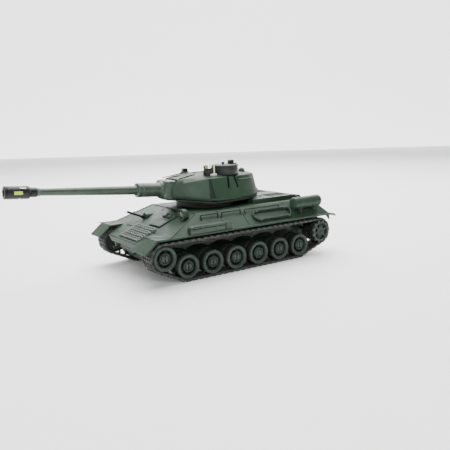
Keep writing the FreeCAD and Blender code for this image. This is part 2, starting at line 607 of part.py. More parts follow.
def gear(name, teeth, tip, root, gap, face, phase=0.0):
    """A gear standing on the XY plane; phase turns it by that part of a tooth."""
    wire = gear_outline(size("gear_module"), int(size(teeth)), tip, root, gap, phase)
    feature = doc.addObject("Part::Feature", name)
    feature.Shape = Part.Face(wire).extrude(Vector(0, 0, size(face)))
    return feature


BACKLASH = 0.16
ring_pitch, pinion_pitch = size("gear_module*ring_teeth/2"), size("gear_module*pinion_teeth/2")
ring = place(gear("ring_gear", "ring_teeth", ring_pitch + 0.55, ring_pitch - 1.3, BACKLASH, "gear_face"),
             "turret_x", "0", "gear_high_z - gear_face")
ring_bore = rod("ring_bore", "neck_rad - 5", "20", ("turret_x", "0", "gear_high_z - 12"))
piece(cut("turret_gear_body", ring, ring_bore), "turret_gear")
PINION_X = "turret_x - gear_module*(ring_teeth + pinion_teeth)/2"
pinion = place(gear("pinion_gear", "pinion_teeth", pinion_pitch + 0.85, pinion_pitch - 0.95, BACKLASH,
                    "gear_face + 0.8", 0.5), PINION_X, "0", "gear_high_z - gear_face - 0.4")
pinion_shaft = rod("pinion_shaft", "axle_rad", "10", (PINION_X, "0", "gear_high_z - gear_face - 10"))
piece(joined("pinion_body", "Fuse", pinion, pinion_shaft), "turret_pinion")
motor_whole = joined("turret_motor_whole", "Fuse",
                     rod("turret_motor_can", "turret_motor_rad", "17", (PINION_X, "0", "34.6")),
                     box("turret_motor_foot", (f"{PINION_X} - 15", f"{PINION_X} + 15"), ("-6", "6"),
                         ("49", "51.6")))
motor_bore = rod("turret_motor_bore", "axle_rad + running_gap", "12", (PINION_X, "0", "43"))
piece(cut("turret_motor_body", motor_whole, motor_bore), "turret_motor")

# ---------------------------------------------------------------- turret

# corners of the left half, front to rear
TURRET_LOW = [("12", "12.6"), ("3", "22"), ("-20", "38"), ("-48", "37.5"), ("-76", "31"),
              ("-91.5", "20"), ("-95", "8")]
TURRET_HIGH = [("9", "12"), ("0", "18.5"), ("-21", "31.5"), ("-48", "31.8"), ("-72", "27"),
               ("-86", "17.5"), ("-89.5", "7")]


def turret_ring(corners, inset):
    """A turret outline, closed across the centre line, drawn in towards the turret's middle."""
    middle = size("turret_x")
    ring = []
    for x, y in corners:
        toward = 1 if size(x) > middle else -1
        ring.append((f"{x} - ({toward})*({inset})", f"{y} - ({inset})"))
    return ring + [(x, f"-({y})") for x, y in reversed(ring)]


def turret_block(name, inset, low, high):
    """The cast turret: a straight-sided loft from its foot outline to its roof outline."""
    body = new_body(name)
    sections = []
    for corners, level in ((TURRET_LOW, low), (TURRET_HIGH, high)):
        sketch = sketch_on(body, "XY", level)
        draw_outline(sketch, turret_ring(corners, inset))
        sections.append(sketch)
    loft = body.newObject("PartDesign::AdditiveLoft", name + "_loft")
    loft.Profile = sections[0]
    loft.Sections = [sections[1]]
    loft.Ruled = True
    body.Tip = loft
    return body


ears = [box(f"trunnion_ear_{n}", ("trunnion_x - 4", "trunnion_x + 4"),
            (f"{side}*ear_y - 1.4", f"{side}*ear_y + 1.4"), ("trunnion_z - 4.2", "turret_top_z - 1"))
        for n, side in enumerate((-1, 1))]
undercut = pad("turret_undercut", "XZ", [
    ("undercut_x", "turret_low_z - 4"), ("20", "turret_low_z - 4"), ("20", "undercut_z + 8*undercut_slope"),
    ("12", "undercut_z"), ("undercut_x", "turret_low_z")], "-fender_half", "fender_half")
turret_outer = turret_block("turret_outer", "0", "turret_low_z", "turret_top_z")
hollow = cut("turret_hollow", turret_outer,
             turret_block("turret_inner", "wall", "turret_low_z - 0.1", "turret_top_z - wall"), undercut)
slot_width = ("-shield_half - slack", "shield_half + slack")
piece(cut("turret_shell_body", joined("turret_with_ears", "Fuse", hollow, *ears),
          box("gun_slot_low", ("-12", "20"), slot_width, ("turret_low_z + 2", "turret_top_z - 3")),
          box("gun_slot_high", ("3.4", "20"), slot_width, ("turret_low_z + 2", "turret_top_z + 1")),
          rod("trunnion_bore", "trunnion_rad + running_gap", "60", ("trunnion_x", "-30", "trunnion_z"), Y)),
      "turret_shell")
floor = joined("turret_floor", "Common",
               pad("floor_plan", "XY", turret_ring(TURRET_LOW, "0.8"), "turret_low_z - floor_thick",
                   "turret_low_z + 8"),
               pad("floor_profile", "XZ", [
                   ("-100", "turret_low_z - floor_thick"), ("undercut_x", "turret_low_z - floor_thick"),
                   ("12", "undercut_z - floor_thick"), ("12", "undercut_z"),
                   ("undercut_x", "turret_low_z"), ("-100", "turret_low_z")],
                   "-fender_half", "fender_half"))
collar = rod("turret_collar", "collar_rad", "turret_low_z - roof_z - 1.6",
             ("turret_x", "0", "roof_z + 0.6"))
neck = rod("turret_neck", "neck_rad", "roof_z + 1 - gear_high_z", ("turret_x", "0", "gear_high_z"))
piece(cut("turret_base_body", joined("turret_base_whole", "Fuse", floor, collar, neck),
          rod("turret_well", "neck_rad - 5", "20", ("turret_x", "0", "gear_high_z - 1"))), "turret_base")
piece(cut("cupola_body",
          rod("cupola_drum", "cupola_rad", "cupola_z - turret_top_z - seat",
              ("cupola_x", "cupola_y", "turret_top_z + seat")),
          rod("cupola_room", "cupola_rad - 2", "6", ("cupola_x", "cupola_y", "turret_top_z - 1"))),
      "commander_cupola")
gunner_peri = joined("gunner_peri", "Fuse",
                     box("peri_foot", ("-27", "-18.6"), ("-22.4", "-14"),
                         ("turret_top_z + seat", "turret_top_z + 2.4")),
                     box("peri_head", ("-25.2", "-20.2"), ("-20.6", "-15.8"),
                         ("turret_top_z + 2", "turret_top_z + 6")))
cupola_peri = box("cupola_peri_head", ("-62", "-57"), ("12.5", "17.5"),
                  ("cupola_z + seat", "cupola_z + 4.2"))
knob = rod("hatch_knob", "1.7", "3", ("-48", "17.5", "cupola_z + seat"))
piece(group("periscopes_body", gunner_peri, cupola_peri, knob), "periscopes")
dome = doc.addObject("Part::Sphere", "dome_ball")
bind(dome, Radius="dome_rad")
piece(joined("dome_body", "Common", place(dome, "dome_x", "dome_y", "turret_top_z + 0.2"),
             box("dome_room", ("dome_x - 5", "dome_x + 5"), ("dome_y - 5", "dome_y + 5"),
                 ("turret_top_z + seat", "turret_top_z + 6"))), "ventilator_dome")
piece(joined("sensor_base_body", "Fuse",
             box("sensor_foot", ("sensor_x - 5.6", "sensor_x + 6"), ("sensor_y - 6", "sensor_y + 6"),
                 ("turret_top_z + seat", "turret_top_z + 2")),
             rod("sensor_pot", "sensor_rad", "7", ("sensor_x", "sensor_y", "turret_top_z + 0.5"))),
      "hit_sensor_base")
piece(rod("sensor_cap_body", "sensor_rad", "3.6", ("sensor_x", "sensor_y", "turret_top_z + 7.6")),
      "hit_sensor_cap")
bare_rail = grab_rail("turret_rail", "-10", "10")
rail_along = Vector(20.7, 5.5, 3.7).normalize()
rail_away = rail_along.cross(Vector(-0.1, -0.22, 1)).normalize()*-1
rail_middle = Vector(-66, 28, 86.6)
bare_rail.Placement = Placement(rail_middle,
                                Rotation(rail_along, rail_away.cross(rail_along), rail_away))
left_turret_rail = cut("left_turret_rail", bare_rail, turret_outer)
piece(group("turret_rails_body", left_turret_rail, mirrored("turret_rail_right", left_turret_rail)),
      "turret_grab_rails")

# ---------------------------------------------------------------- gun, modelled level from the trunnion


def on_gun(name, *parts):
    """Lay level pieces along the raised gun axis."""
    return place(joined(name, "Fuse", *parts) if len(parts) > 1 else group(name, *parts),
                 "trunnion_x", "0", "trunnion_z", turn=(Y, "-gun_rise"))


def cone(name, radius_near, radius_far, start, length):
    """A tapered bar along +X."""
    taper = doc.addObject("Part::Cone", name)
    bind(taper, Radius1=radius_near, Radius2=radius_far, Height=length)
    return place(taper, start, "0", "0", turn=(Y, 90))


REACH = "(overall_length/2 - trunnion_x - brake_rad*sin(gun_rise*1deg))/cos(gun_rise*1deg)"
BRAKE_REAR = f"{REACH} - brake_len"
shield = cut("shield_curve",
             joined("shield_sector", "Common",
                    rod("shield_drum", "shield_rad", "2*shield_half", ("0", "-shield_half", "0"), Y),
                    box("shield_room", ("4", "shield_rad + 1"), ("-shield_half", "shield_half"),
                        ("-9", "9.6"))),
             rod("shield_inside", "shield_rad - 3", "2*shield_half + 2", ("0", "-shield_half - 1", "0"), Y))
arm = box("gun_arm", ("-3.4", "shield_rad - 2"), ("-7", "7"), ("-4", "4"))
trunnion = rod("trunnion_pin", "trunnion_rad", "2*ear_y + 2.4", ("0", "-ear_y - 1.2", "0"), Y)
sleeve = rod("gun_sleeve", "sleeve_rad", "sleeve_reach - shield_rad + 3", ("shield_rad - 3", "0", "0"), X)
piece(on_gun("mantlet_body", shield, arm, trunnion, sleeve), "gun_mantlet")
piece(on_gun("barrel_body", cone("barrel_taper", "barrel_rad", "barrel_tip_rad", "sleeve_reach + seat",
                                 f"{BRAKE_REAR} - collar_len - sleeve_reach - 2*seat")), "gun_barrel")
brake = on_gun("brake_whole", rod("brake_tube", "brake_rad", "brake_len", (BRAKE_REAR, "0", "0"), X),
               rod("brake_collar", "brake_collar_rad", "collar_len + 1",
                   (f"{BRAKE_REAR} - collar_len", "0", "0"), X))
window_seat = on_gun("lamp_room", box("lamp_slot", (f"{REACH} - 15", f"{REACH} - 7"),
                                      ("2.6", "brake_rad + 1"), ("-1.7", "1.7")))
piece(cut("muzzle_brake_body", brake, window_seat), "muzzle_brake")
piece(on_gun("muzzle_lamp_body", box("lamp_window", (f"{REACH} - 14.95", f"{REACH} - 7.05"),
                                     ("2.65", "brake_rad - 0.6"), ("-1.65", "1.65"))), "muzzle_lamp")

# ---------------------------------------------------------------- output

doc.recompute()
for thing in doc.Objects:
    if "Invalid" in thing.State or "Error" in thing.State:
        raise RuntimeError(f"{thing.Name} failed: {thing.State}")
os.makedirs("parts", exist_ok=True)
for thing in pieces:
    if thing.Shape.isNull() or not thing.Shape.isValid():
        raise RuntimeError(f"{thing.Label} has no valid shape")
    thing.Shape.exportStep(f"parts/{thing.Label}.step")
print(len(pieces), "pieces written")
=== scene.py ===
"""Looks of the radio-controlled tank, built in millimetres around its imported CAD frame.

+X is forward, +Y the tank's left, +Z up. Each skin replaces the CAD node it stands for, and the
small fittings ride with the body they are fixed to.
"""
import bmesh
import bpy
import json
from math import atan2, cos, dist, hypot, pi, radians, sin, sqrt
from mathutils import Matrix, Vector


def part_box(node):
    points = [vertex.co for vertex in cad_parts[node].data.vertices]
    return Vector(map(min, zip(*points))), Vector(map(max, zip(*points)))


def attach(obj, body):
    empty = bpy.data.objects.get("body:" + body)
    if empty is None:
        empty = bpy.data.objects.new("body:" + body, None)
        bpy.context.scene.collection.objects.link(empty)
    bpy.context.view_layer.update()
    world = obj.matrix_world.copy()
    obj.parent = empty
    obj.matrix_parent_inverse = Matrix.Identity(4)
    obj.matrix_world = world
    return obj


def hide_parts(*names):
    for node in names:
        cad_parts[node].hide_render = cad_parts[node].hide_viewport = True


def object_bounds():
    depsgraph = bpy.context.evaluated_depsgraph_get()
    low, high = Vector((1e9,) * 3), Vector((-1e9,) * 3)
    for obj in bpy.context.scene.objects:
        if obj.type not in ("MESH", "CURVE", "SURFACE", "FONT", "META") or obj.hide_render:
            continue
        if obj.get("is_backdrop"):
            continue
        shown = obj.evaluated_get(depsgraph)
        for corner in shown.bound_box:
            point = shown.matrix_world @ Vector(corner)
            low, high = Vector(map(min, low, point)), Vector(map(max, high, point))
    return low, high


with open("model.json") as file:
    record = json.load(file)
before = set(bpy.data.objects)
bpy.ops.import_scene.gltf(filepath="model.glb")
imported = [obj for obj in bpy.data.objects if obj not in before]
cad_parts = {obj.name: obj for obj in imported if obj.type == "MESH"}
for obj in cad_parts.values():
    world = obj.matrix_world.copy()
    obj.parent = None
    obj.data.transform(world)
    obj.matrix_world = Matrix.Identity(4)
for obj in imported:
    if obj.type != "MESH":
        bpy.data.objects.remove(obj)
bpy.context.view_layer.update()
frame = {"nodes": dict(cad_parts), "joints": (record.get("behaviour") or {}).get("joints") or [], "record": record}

MM = 0.001
BOTH = (("left", 1), ("right", -1))
X, Y, Z = Vector((1, 0, 0)), Vector((0, 1, 0)), Vector((0, 0, 1))


def box_mm(node):
    """Lowest and highest corner of a CAD node, in millimetres."""
    low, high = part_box(node)
    return low/MM, high/MM


def pivot(body):
    """The point where a body's joint turns, in millimetres."""
    return Vector(next(j for j in frame["joints"] if j["child"] == body)["pos_m"])/MM


def degrees(*span):
    """Angles in radians, for a range given in degrees."""
    return [radians(d) for d in range(*span)]


def turned(place, angle):
    """A placing turned about its own Z axis, in degrees."""
    return place @ Matrix.Rotation(radians(angle), 4, "Z")


def standing(spot, z=0.0):
    """An upright placing over a point."""
    return Matrix.Translation(Vector((spot[0], spot[1], z)))


def plan(x0, x1, y0, y1, z):
    """A level rectangle, as one ring of a loft."""
    return [(x0, y0, z), (x1, y0, z), (x1, y1, z), (x0, y1, z)]


# ---- materials

MOTTLE_SCALE, GLOSS_SCALE, GRAIN_SCALE = 45, 120, 900    # noise cells to a metre
GRAIN_DEPTH = 0.0004
FLAT_EDGE = 0.5         # Pointiness of a flat face: less is a hollow, more an edge


def fed(node, **values):
    """Set a node's inputs by name, with _ for each space."""
    for name, value in values.items():
        node.inputs[name.replace("_", " ")].default_value = value
    return node


def surface(name, colour, rough, metal=0.0, grain=0.12, mottling=0.16, edge_sheen=0.5, shine=0.35):
    """A slightly mottled surface: uneven colour and gloss, fine grain, a painted highlight on sharp edges and
    painted shade in hollows.
    """
    material = bpy.data.materials.new(name)
    material.use_nodes = True
    nodes, links = material.node_tree.nodes, material.node_tree.links
    shader = nodes["Principled BSDF"]
    place = nodes.new("ShaderNodeTexCoord").outputs["Object"]

    def noise(scale, detail, roughness=0.55):
        made = fed(nodes.new("ShaderNodeTexNoise"), Scale=scale, Detail=detail, Roughness=roughness)
        links.new(place, made.inputs["Vector"])
        return made.outputs["Fac"]

    def ramp(source, low, high, start, end):
        made = fed(nodes.new("ShaderNodeMapRange"), From_Min=low, From_Max=high, To_Min=start, To_Max=end)
        links.new(source, made.inputs["Value"])
        return made.outputs["Result"]

    def mixed(share, first, second):
        made = nodes.new("ShaderNodeMix")
        made.data_type = "RGBA"
        links.new(share, made.inputs["Factor"])
        for socket, value in (("A", first), ("B", second)):
            target = next(s for s in made.inputs if s.name == socket and s.type == "RGBA")
            if isinstance(value, bpy.types.NodeSocket):
                links.new(value, target)
            else:
                target.default_value = (*value, 1)
        return next(s for s in made.outputs if s.type == "RGBA")

    dark = [c*(1 - mottling) for c in colour]
    pale = [min(1, c*(1 + mottling)) for c in colour]
    # Sharp edges get a painted highlight and hollows get painted shade, both found from the pointiness.
    painted_edge_highlight = [min(1, c*1.8 + 0.02) for c in colour]
    tone = mixed(ramp(noise(MOTTLE_SCALE, 5), 0.35, 0.65, 0, 1), dark, pale)
    edge = nodes.new("ShaderNodeNewGeometry").outputs["Pointiness"]
    tone = mixed(ramp(edge, FLAT_EDGE + 0.015, FLAT_EDGE + 0.1, 0, edge_sheen), tone, painted_edge_highlight)
    hollow = ramp(edge, FLAT_EDGE - 0.1, FLAT_EDGE - 0.015, 0.55, 0)
    tone = mixed(hollow, tone, [c*0.45 for c in colour])
    links.new(tone, shader.inputs["Base Color"])
    links.new(ramp(noise(GLOSS_SCALE, 4), 0.3, 0.7, rough - 0.07, rough + 0.08), shader.inputs["Roughness"])
    bump = fed(nodes.new("ShaderNodeBump"), Strength=grain, Distance=GRAIN_DEPTH)
    links.new(noise(GRAIN_SCALE, 3, 0.6), bump.inputs["Height"])
    links.new(bump.outputs["Normal"], shader.inputs["Normal"])
    fed(shader, Metallic=metal, Specular_IOR_Level=shine)
    return material


def clear(name, colour, rough, transmission):
    """Clear moulded plastic."""
    material = surface(name, colour, rough, mottling=0.05, edge_sheen=0.1, grain=0.03)
    fed(material.node_tree.nodes["Principled BSDF"], Transmission_Weight=transmission, IOR=1.49)
    return material


GREEN = surface("satin_green", (0.018, 0.038, 0.022), 0.44, shine=0.2)
WHEEL = surface("wheel_green", (0.025, 0.037, 0.028), 0.5, mottling=0.2, shine=0.25)
# A darker copy of the green: painted shade on the sprocket drum, the cupola's side and the turret base.
SHADED_GREEN = surface("painted_shade_green", (0.011, 0.017, 0.012), 0.5, mottling=0.2, shine=0.25)
BIN = surface("bin_green", (0.026, 0.042, 0.030), 0.46, mottling=0.2, shine=0.2)
# A paler copy of the hull green: painted highlight on the spare links' pads.
LINK = surface("spare_link_painted_highlight_green", (0.088, 0.118, 0.092), 0.38, mottling=0.2, shine=0.6)
# A paler copy of the hull green: painted highlight from the top light on the mantlet and barrel.
GUN_GREEN = surface("gun_painted_highlight_green", (0.033, 0.056, 0.038), 0.4, shine=0.45)
FACET = surface("facet_shade_green", (0.011, 0.021, 0.014), 0.5, edge_sheen=0.0, shine=0.15)
GAP = surface("shadow_gap", (0.004, 0.007, 0.005), 0.75, edge_sheen=0.0, shine=0.05)
RUBBER = surface("track_rubber", (0.010, 0.012, 0.010), 0.55, grain=0.3, edge_sheen=1.0, shine=0.3)
# A paler copy of the hull green: painted light on the tub wall, which lies in shade.
TUB_PAINTED_LIGHT = surface("tub_wall_painted_light", (0.110, 0.120, 0.100), 0.6, mottling=0.25, shine=0.2)
BLACK = surface("black_plastic", (0.005, 0.006, 0.005), 0.42, edge_sheen=0.6, shine=0.3)
# A dark copy of the wheel green: painted shade on the wheels' tread, inner body and dish.
SHADE = surface("wheel_painted_shade_green", (0.012, 0.016, 0.013), 0.6, edge_sheen=0.3, shine=0.2)
CABLE = surface("cable_black_green", (0.006, 0.011, 0.008), 0.5, edge_sheen=0.8, shine=0.2)
STEEL = surface("drawn_steel", (0.52, 0.52, 0.52), 0.30, metal=1.0, edge_sheen=0.1)
NYLON = surface("natural_nylon", (0.72, 0.70, 0.62), 0.45, mottling=0.05, edge_sheen=0.1)
BOARD = surface("solder_mask", (0.02, 0.13, 0.05), 0.30, mottling=0.1, edge_sheen=0.2)
SLEEVE = surface("battery_sleeve", (0.04, 0.09, 0.30), 0.32, mottling=0.06, edge_sheen=0.2)
BRACKET = surface("pale_bracket", (0.62, 0.60, 0.44), 0.40, mottling=0.08, edge_sheen=0.2)
LIME = surface("lime_window", (0.42, 0.62, 0.03), 0.25, mottling=0.06, edge_sheen=0.1)
# White for the painted glint on the muzzle lamp.
GLINT_WHITE = surface("painted_glint_white", (0.80, 0.80, 0.76), 0.30, mottling=0.04, edge_sheen=0.1)
CAP = clear("clear_yellow_cap", (0.90, 0.88, 0.62), 0.12, 0.75)
LENS = surface("lamp_glass", (0.020, 0.030, 0.022), 0.28, grain=0.02, mottling=0.1, shine=0.5)

ON_HULL, ON_TURRET = ("hull", "hull_green", GREEN), ("turret", "hull_green", GREEN)
HULL_DARK, HULL_BLACK = ("hull", "black_plastic", CABLE), ("hull", "black_plastic", BLACK)
TURRET_BLACK = ("turret", "black_plastic", BLACK)
POLE = -99.0    # as a radius: on the axis, wherever a profile is measured from

MATERIALS = {"hull_green": GREEN, "wheel_green": WHEEL, "track_rubber": RUBBER, "black_plastic": BLACK,
             "clear_cap": CAP, "lamp_lens": LENS, "lime_lens": LIME, "steel": STEEL, "gear_nylon": NYLON,
             "board": BOARD, "battery_wrap": SLEEVE, "speaker_black": BLACK}


# ---- mesh building

def placed(name, data):
    """A new object in the scene."""
    made = bpy.data.objects.new(name, data)
    bpy.context.scene.collection.objects.link(made)
    return made


class Form:
    """A mesh made of closed forms, in millimetres."""

    def __init__(self):
        self.mesh = bmesh.new()

    def add(self, points, faces, place=None):
        made = [self.mesh.verts.new(place @ Vector(p) if place else Vector(p)) for p in points]
        for face in faces:
            self.mesh.faces.new([made[i] for i in face])
        return made

    def loft(self, rings, place=None, closed=False):
        """A skin through rings of equal length, capped at its ends unless it is closed."""
        count = len(rings[0])
        faces = []
        for level in range(len(rings) if closed else len(rings) - 1):
            following = (level + 1) % len(rings)
            for i in range(count):
                k = (i + 1) % count
                faces.append((level*count + i, level*count + k, following*count + k, following*count + i))
        if not closed:
            faces.append(tuple(reversed(range(count))))
            faces.append(tuple(range((len(rings) - 1)*count, len(rings)*count)))
        return self.add([p for ring in rings for p in ring], faces, place)

    def prism(self, outline, low, high, place=None):
        """An outline in the XY plane, drawn from low to high along Z."""
        return self.loft([[(u, v, level) for u, v in outline] for level in (low, high)], place)

    def block(self, low, high, place=None, taper=0.0):
        """A block; taper draws its top in."""
        (a, b, c), (d, e, f) = low, high
        t = taper
        return self.loft([plan(a, d, b, e, c), plan(a + t, d - t, b + t, e - t, f)], place)

    def lathe(self, profile, place=None, segments=48, close_ends=True, at=(0, 0)):
        """Turn (along, radius) pairs, measured from at, about the Z axis of the placing."""
        rings = []
        for along, radius in profile:
            radius = max(at[1] + radius, 0.001)
            rings.append([(radius*cos(2*pi*i/segments), radius*sin(2*pi*i/segments),
                           at[0] + along) for i in range(segments)])
        return self.loft(rings, place, closed=not close_ends)

    def hoop(self, profile, place, segments, at=(0, 0)):
        """A lathed ring whose profile closes on itself."""
        return self.lathe(profile, place, segments, False, at)

    def tube(self, points, radius, sides=10, closed=False):
        """A round bar along points."""
        points = [Vector(p) for p in points]
        rings, side = [], None
        for i, point in enumerate(points):
            before = points[i - 1] if (i or closed) else point
            after = points[(i + 1) % len(points)] if (closed or i + 1 < len(points)) else point
            along = (after - before).normalized()
            if side is None:
                side = along.orthogonal().normalized()
            side = (side - along*side.dot(along)).normalized()
            other = along.cross(side)
            rings.append([point + radius*(cos(a)*side + sin(a)*other)
                          for a in (2*pi*k/sides for k in range(sides))])
        return self.loft(rings, closed=closed)

    def bolt(self, spot, normal, radius=0.8, height=0.6):
        """A low round head standing on a surface."""
        turn = Vector(normal).to_track_quat("Z", "Y").to_matrix().to_4x4()
        self.lathe([(-0.3, radius), (height*0.55, radius), (height*0.9, radius*0.72), (height, radius*0.3)],
                   Matrix.Translation(Vector(spot)) @ turn, 12)

    def built(self, name, material):
        """Turn the form into an object in metres."""
        bmesh.ops.recalc_face_normals(self.mesh, faces=self.mesh.faces)
        self.mesh.transform(Matrix.Scale(MM, 4))
        data = bpy.data.meshes.new(name)
        self.mesh.to_mesh(data)
        self.mesh.free()
        data.materials.append(material)
        return placed(name, data)

    def piece(self, name, body, slot, material, bevel=0.25, stands_for=(), segments=2):
        """Finish the form as an object that rides with a body."""
        made = self.built(name, material)
        dress(made, bevel, segments)
        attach(made, body)
        if stands_for:
            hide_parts(*stands_for)
        return made


def dress(thing, bevel, segments=2, weld=False):
    """Round the sharp edges and shade the curved faces smooth."""
    thing.data.shade_smooth()
    if weld:
        joiner = thing.modifiers.new("weld", "WELD")
        joiner.merge_threshold = 0.000004
    if bevel:
        rounding = thing.modifiers.new("rounded_edges", "BEVEL")
        rounding.width = bevel*MM
        rounding.segments = segments
        rounding.limit_method = "ANGLE"
        rounding.angle_limit = radians(28)
        rounding.use_clamp_overlap = True
    normals = thing.modifiers.new("flat_faces", "WEIGHTED_NORMAL")
    normals.keep_sharp = False
    normals.weight = 80


def facing(origin, along, out):
    """A placing whose X runs along one direction and whose Z points out of a surface."""
    along, out = Vector(along).normalized(), Vector(out).normalized()
    across = out.cross(along).normalized()
    along = across.cross(out)
    turn = Matrix((along, across, out)).transposed().to_4x4()
    return Matrix.Translation(Vector(origin)) @ turn


def turned_along_y(origin, sign):
    """A placing whose Z axis points outward, to the tank's left or right."""
    return facing(origin, X, Vector((0, sign, 0)))


# ---- hull planes, from the CAD boxes

ROOF_Z = box_mm("engine_deck")[0].z
FENDER_TOP, FENDER_HALF = 44.0, box_mm("hull_upper_shell")[1].y
ROOF_FRONT, ROOF_HALF, FOOT_HALF = 4.3, 44.0, 61.0
NOSE = Vector((60.4, 0, 35.5))
GLACIS_DOWN = Vector((NOSE.x - ROOF_FRONT, 0, NOSE.z - ROOF_Z)).normalized()
GLACIS = facing((ROOF_FRONT, 0, ROOF_Z), GLACIS_DOWN, Vector((-GLACIS_DOWN.z, 0, GLACIS_DOWN.x)))


def side_plate(sign):
    """The sloping hull side: X forward, Y up the slope, Z away from the plate."""
    out = Vector((0, sign*(ROOF_Z - FENDER_TOP), FOOT_HALF - ROOF_HALF))
    return facing((0, sign*ROOF_HALF, ROOF_Z), X, out)


# ---- running gear

def bar_end(x, foot, top, low, high):
    """The end of a bar with sloping sides: half its width at the foot and at the top."""
    return [(x, -foot, low), (x, foot, low), (x, top, high), (x, -top, high)]


def wheel(node, sign):
    """A road wheel: two rims, a deep dish and a slotted hub; the tread, inner body and dish carry painted shade.
    """
    low, high = box_mm(node)
    middle = (low + high)/2
    rim = (high.x - low.x)/2
    inner, outer = sorted((abs(low.y), abs(high.y)))
    place = turned_along_y((middle.x, 0, middle.z), sign)
    groove, face = (51.4, 55.0), outer - 2.45
    form = Form()
    form.hoop([(-2.4, -3.7), (-2.4, 0), (-0.9, 0), (-0.35, -0.25), (0, -0.9), (0, -1.5), (-0.25, -2.2),
                (-0.35, -2.8), (-1.2, -3.4), (-2.0, -3.6)], place, 64, at=(outer, rim))
    form.hoop([(-2.4, 5.45), (-0.9, 5.35), (-0.45, 5.0), (-0.5, 4.4), (-1.0, 4.1), (-2.4, 3.95)],
               place, 48, at=(outer, 0))
    for half in (-1, 1):
        outline = [(half*0.62, -3.1), (half*0.62, 3.1)]
        outline += [(half*3.35*cos(a), 3.35*sin(a)) for a in degrees(66, -67, -12)]
        form.prism(outline, outer - 2.3, outer - 0.75, place)
    form.piece(node + "_skin", node, "wheel_green", WHEEL, 0.12, [node])
    # The tread, inner body and dish use the dark copy of the wheel green: painted shade.
    tread = Form()
    tread.hoop([(inner, 1.55), (inner, rim - 2.6), (inner + 0.5, rim - 0.5), (inner + 1, rim),
                (groove[0] - 0.6, rim), (groove[0], rim - 0.6), (groove[0], 8.9), (groove[1], 8.9),
                (groove[1], rim - 0.6), (groove[1] + 0.6, rim), (face, rim), (face, rim - 3.7),
                (outer - 4.6, rim - 4.1), (outer - 5.4, rim - 4.8), (outer - 5.4, 5.2), (face, 5.1),
                (face, 1.55)], place, 64)
    for spoke in range(6):
        tread.loft([bar_end(5.0, 0.5, 0.4, outer - 5.6, outer - 3.2),
                    bar_end(7.6, 0.7, 0.5, outer - 5.4, outer - 3.8)], turned(place, 20 + 60*spoke))
    tread.piece(node + "_tread", node, "wheel_green", SHADE, 0.12)


def sprocket(node, sign):
    """The drive sprocket: drum, pointed star ring and a ribbed dish; the drum and dish carry painted shade in a
    dark green.
    """
    low, high = box_mm(node)
    outer = max(abs(low.y), abs(high.y))
    hub = pivot(node)
    place = turned_along_y((hub.x, 0, hub.z), sign)
    tip = (high.z - low.z)/2
    form = Form()
    form.lathe([(22, 0), (22, 1.5), (44.4, 1.5), (44.4, 11.0), (44.9, 11.3), (51.4, 11.3), (51.4, 8.7),
                (55, 8.7), (55, 11.3), (61.4, 11.3), (62, 10.6), (61.6, 9.6), (60.4, 8.9), (59.6, 7.5),
                (60.2, 4.6), (61.6, 4.2), (62.2, 3.6), (62.3, 0)], place, 64)
    star = []
    for tooth in range(12):
        middle = 30*(tooth + 0.5)
        for turn, radius in ((-10.5, 10.6), (-5.5, 11.6), (-1.8, tip), (1.8, tip), (5.5, 11.6),
                             (10.5, 10.6), (15, 10.3)):
            angle = radians(middle + turn)
            star.append((radius*cos(angle), radius*sin(angle)))
    ring = [(8.9*cos(atan2(v, u)), 8.9*sin(atan2(v, u))) for u, v in star]
    crown = Form()
    crown.loft([[(u, v, outer - 1.3) for u, v in star], [(u*0.985, v*0.985, outer) for u, v in star],
                [(u, v, outer) for u, v in ring], [(u, v, outer - 1.3) for u, v in ring]], place, True)
    crown.hoop([(-1.4, 3.0), (-1.4, 5.0), (-0.5, 4.8), (-0.4, 4.2), (-0.9, 3.9), (-0.9, 3.0)],
                place, 40, at=(outer, 0))
    for arm in range(6):
        crown.block((4.6, -0.5, outer - 2.2), (9.2, 0.5, outer - 1.0), turned(place, 60*arm + 18))
    crown.piece(node + "_star", node, "wheel_green", WHEEL, 0.1)
    for rib in range(8):
        form.loft([bar_end(3.4, 0.5, 0.4, 59.8, 61.9), bar_end(9.4, 0.6, 0.5, 60.2, 61.6)],
                  turned(place, 45*rib + 10))
    for lobe in range(12):
        form.block((8, -0.9, 51.3), (9.9, 0.9, 55.1), turned(place, 30*(lobe + 0.5)))
    for stud in range(6):
        angle = radians(60*stud)
        spot = place @ Vector((2.3*cos(angle), 2.3*sin(angle), 62.2))
        form.bolt(spot, (0, sign, 0), 0.45, 0.4)
    form.piece(node + "_skin", node, "wheel_green", SHADED_GREEN, 0.12, [node])


for side, sign in BOTH:
    for number in range(1, 7):
        wheel(f"road_wheel_{side}_{number}", sign)
    wheel(f"idler_wheel_{side}", sign)
    sprocket(f"sprocket_{side}", sign)

HUBS = [pivot(body) for body in ("sprocket_left", "road_wheel_left_6", "road_wheel_left_1",
                                 "idler_wheel_left")]
BELT_RAD, WEB, LINKS = 11.8, 1.5, 67


def belt_legs(radius):
    """Bends and straight runs of the belt at one radius: (length, hub, heading, bends)."""
    legs = []
    for i, hub in enumerate(HUBS):
        came, goes = hub - HUBS[i - 1], HUBS[(i + 1) % 4] - hub
        a, b = atan2(came.z, came.x), atan2(goes.z, goes.x)
        legs += [((b - a) % (2*pi)*radius, hub, a, True), (hypot(goes.x, goes.z), hub, b, False)]
    return legs


def belt_frame(share):
    """A placing on the belt's inner face: X along the belt, Z outward; share is 0 to 1 round it."""
    middle = BELT_RAD + WEB
    legs = belt_legs(middle)
    ahead = (share*sum(leg[0] for leg in legs) + middle*pi/2) % sum(leg[0] for leg in legs)
    for length, hub, heading, bends in legs:
        if ahead <= length:
            break
        ahead -= length
    if bends:
        heading += ahead/middle
        ahead = 0
    along = Vector((cos(heading), 0, sin(heading)))
    out = Vector((sin(heading), 0, -cos(heading)))
    return facing(Vector((hub.x, 0, hub.z)) + out*BELT_RAD + along*ahead, along, out)


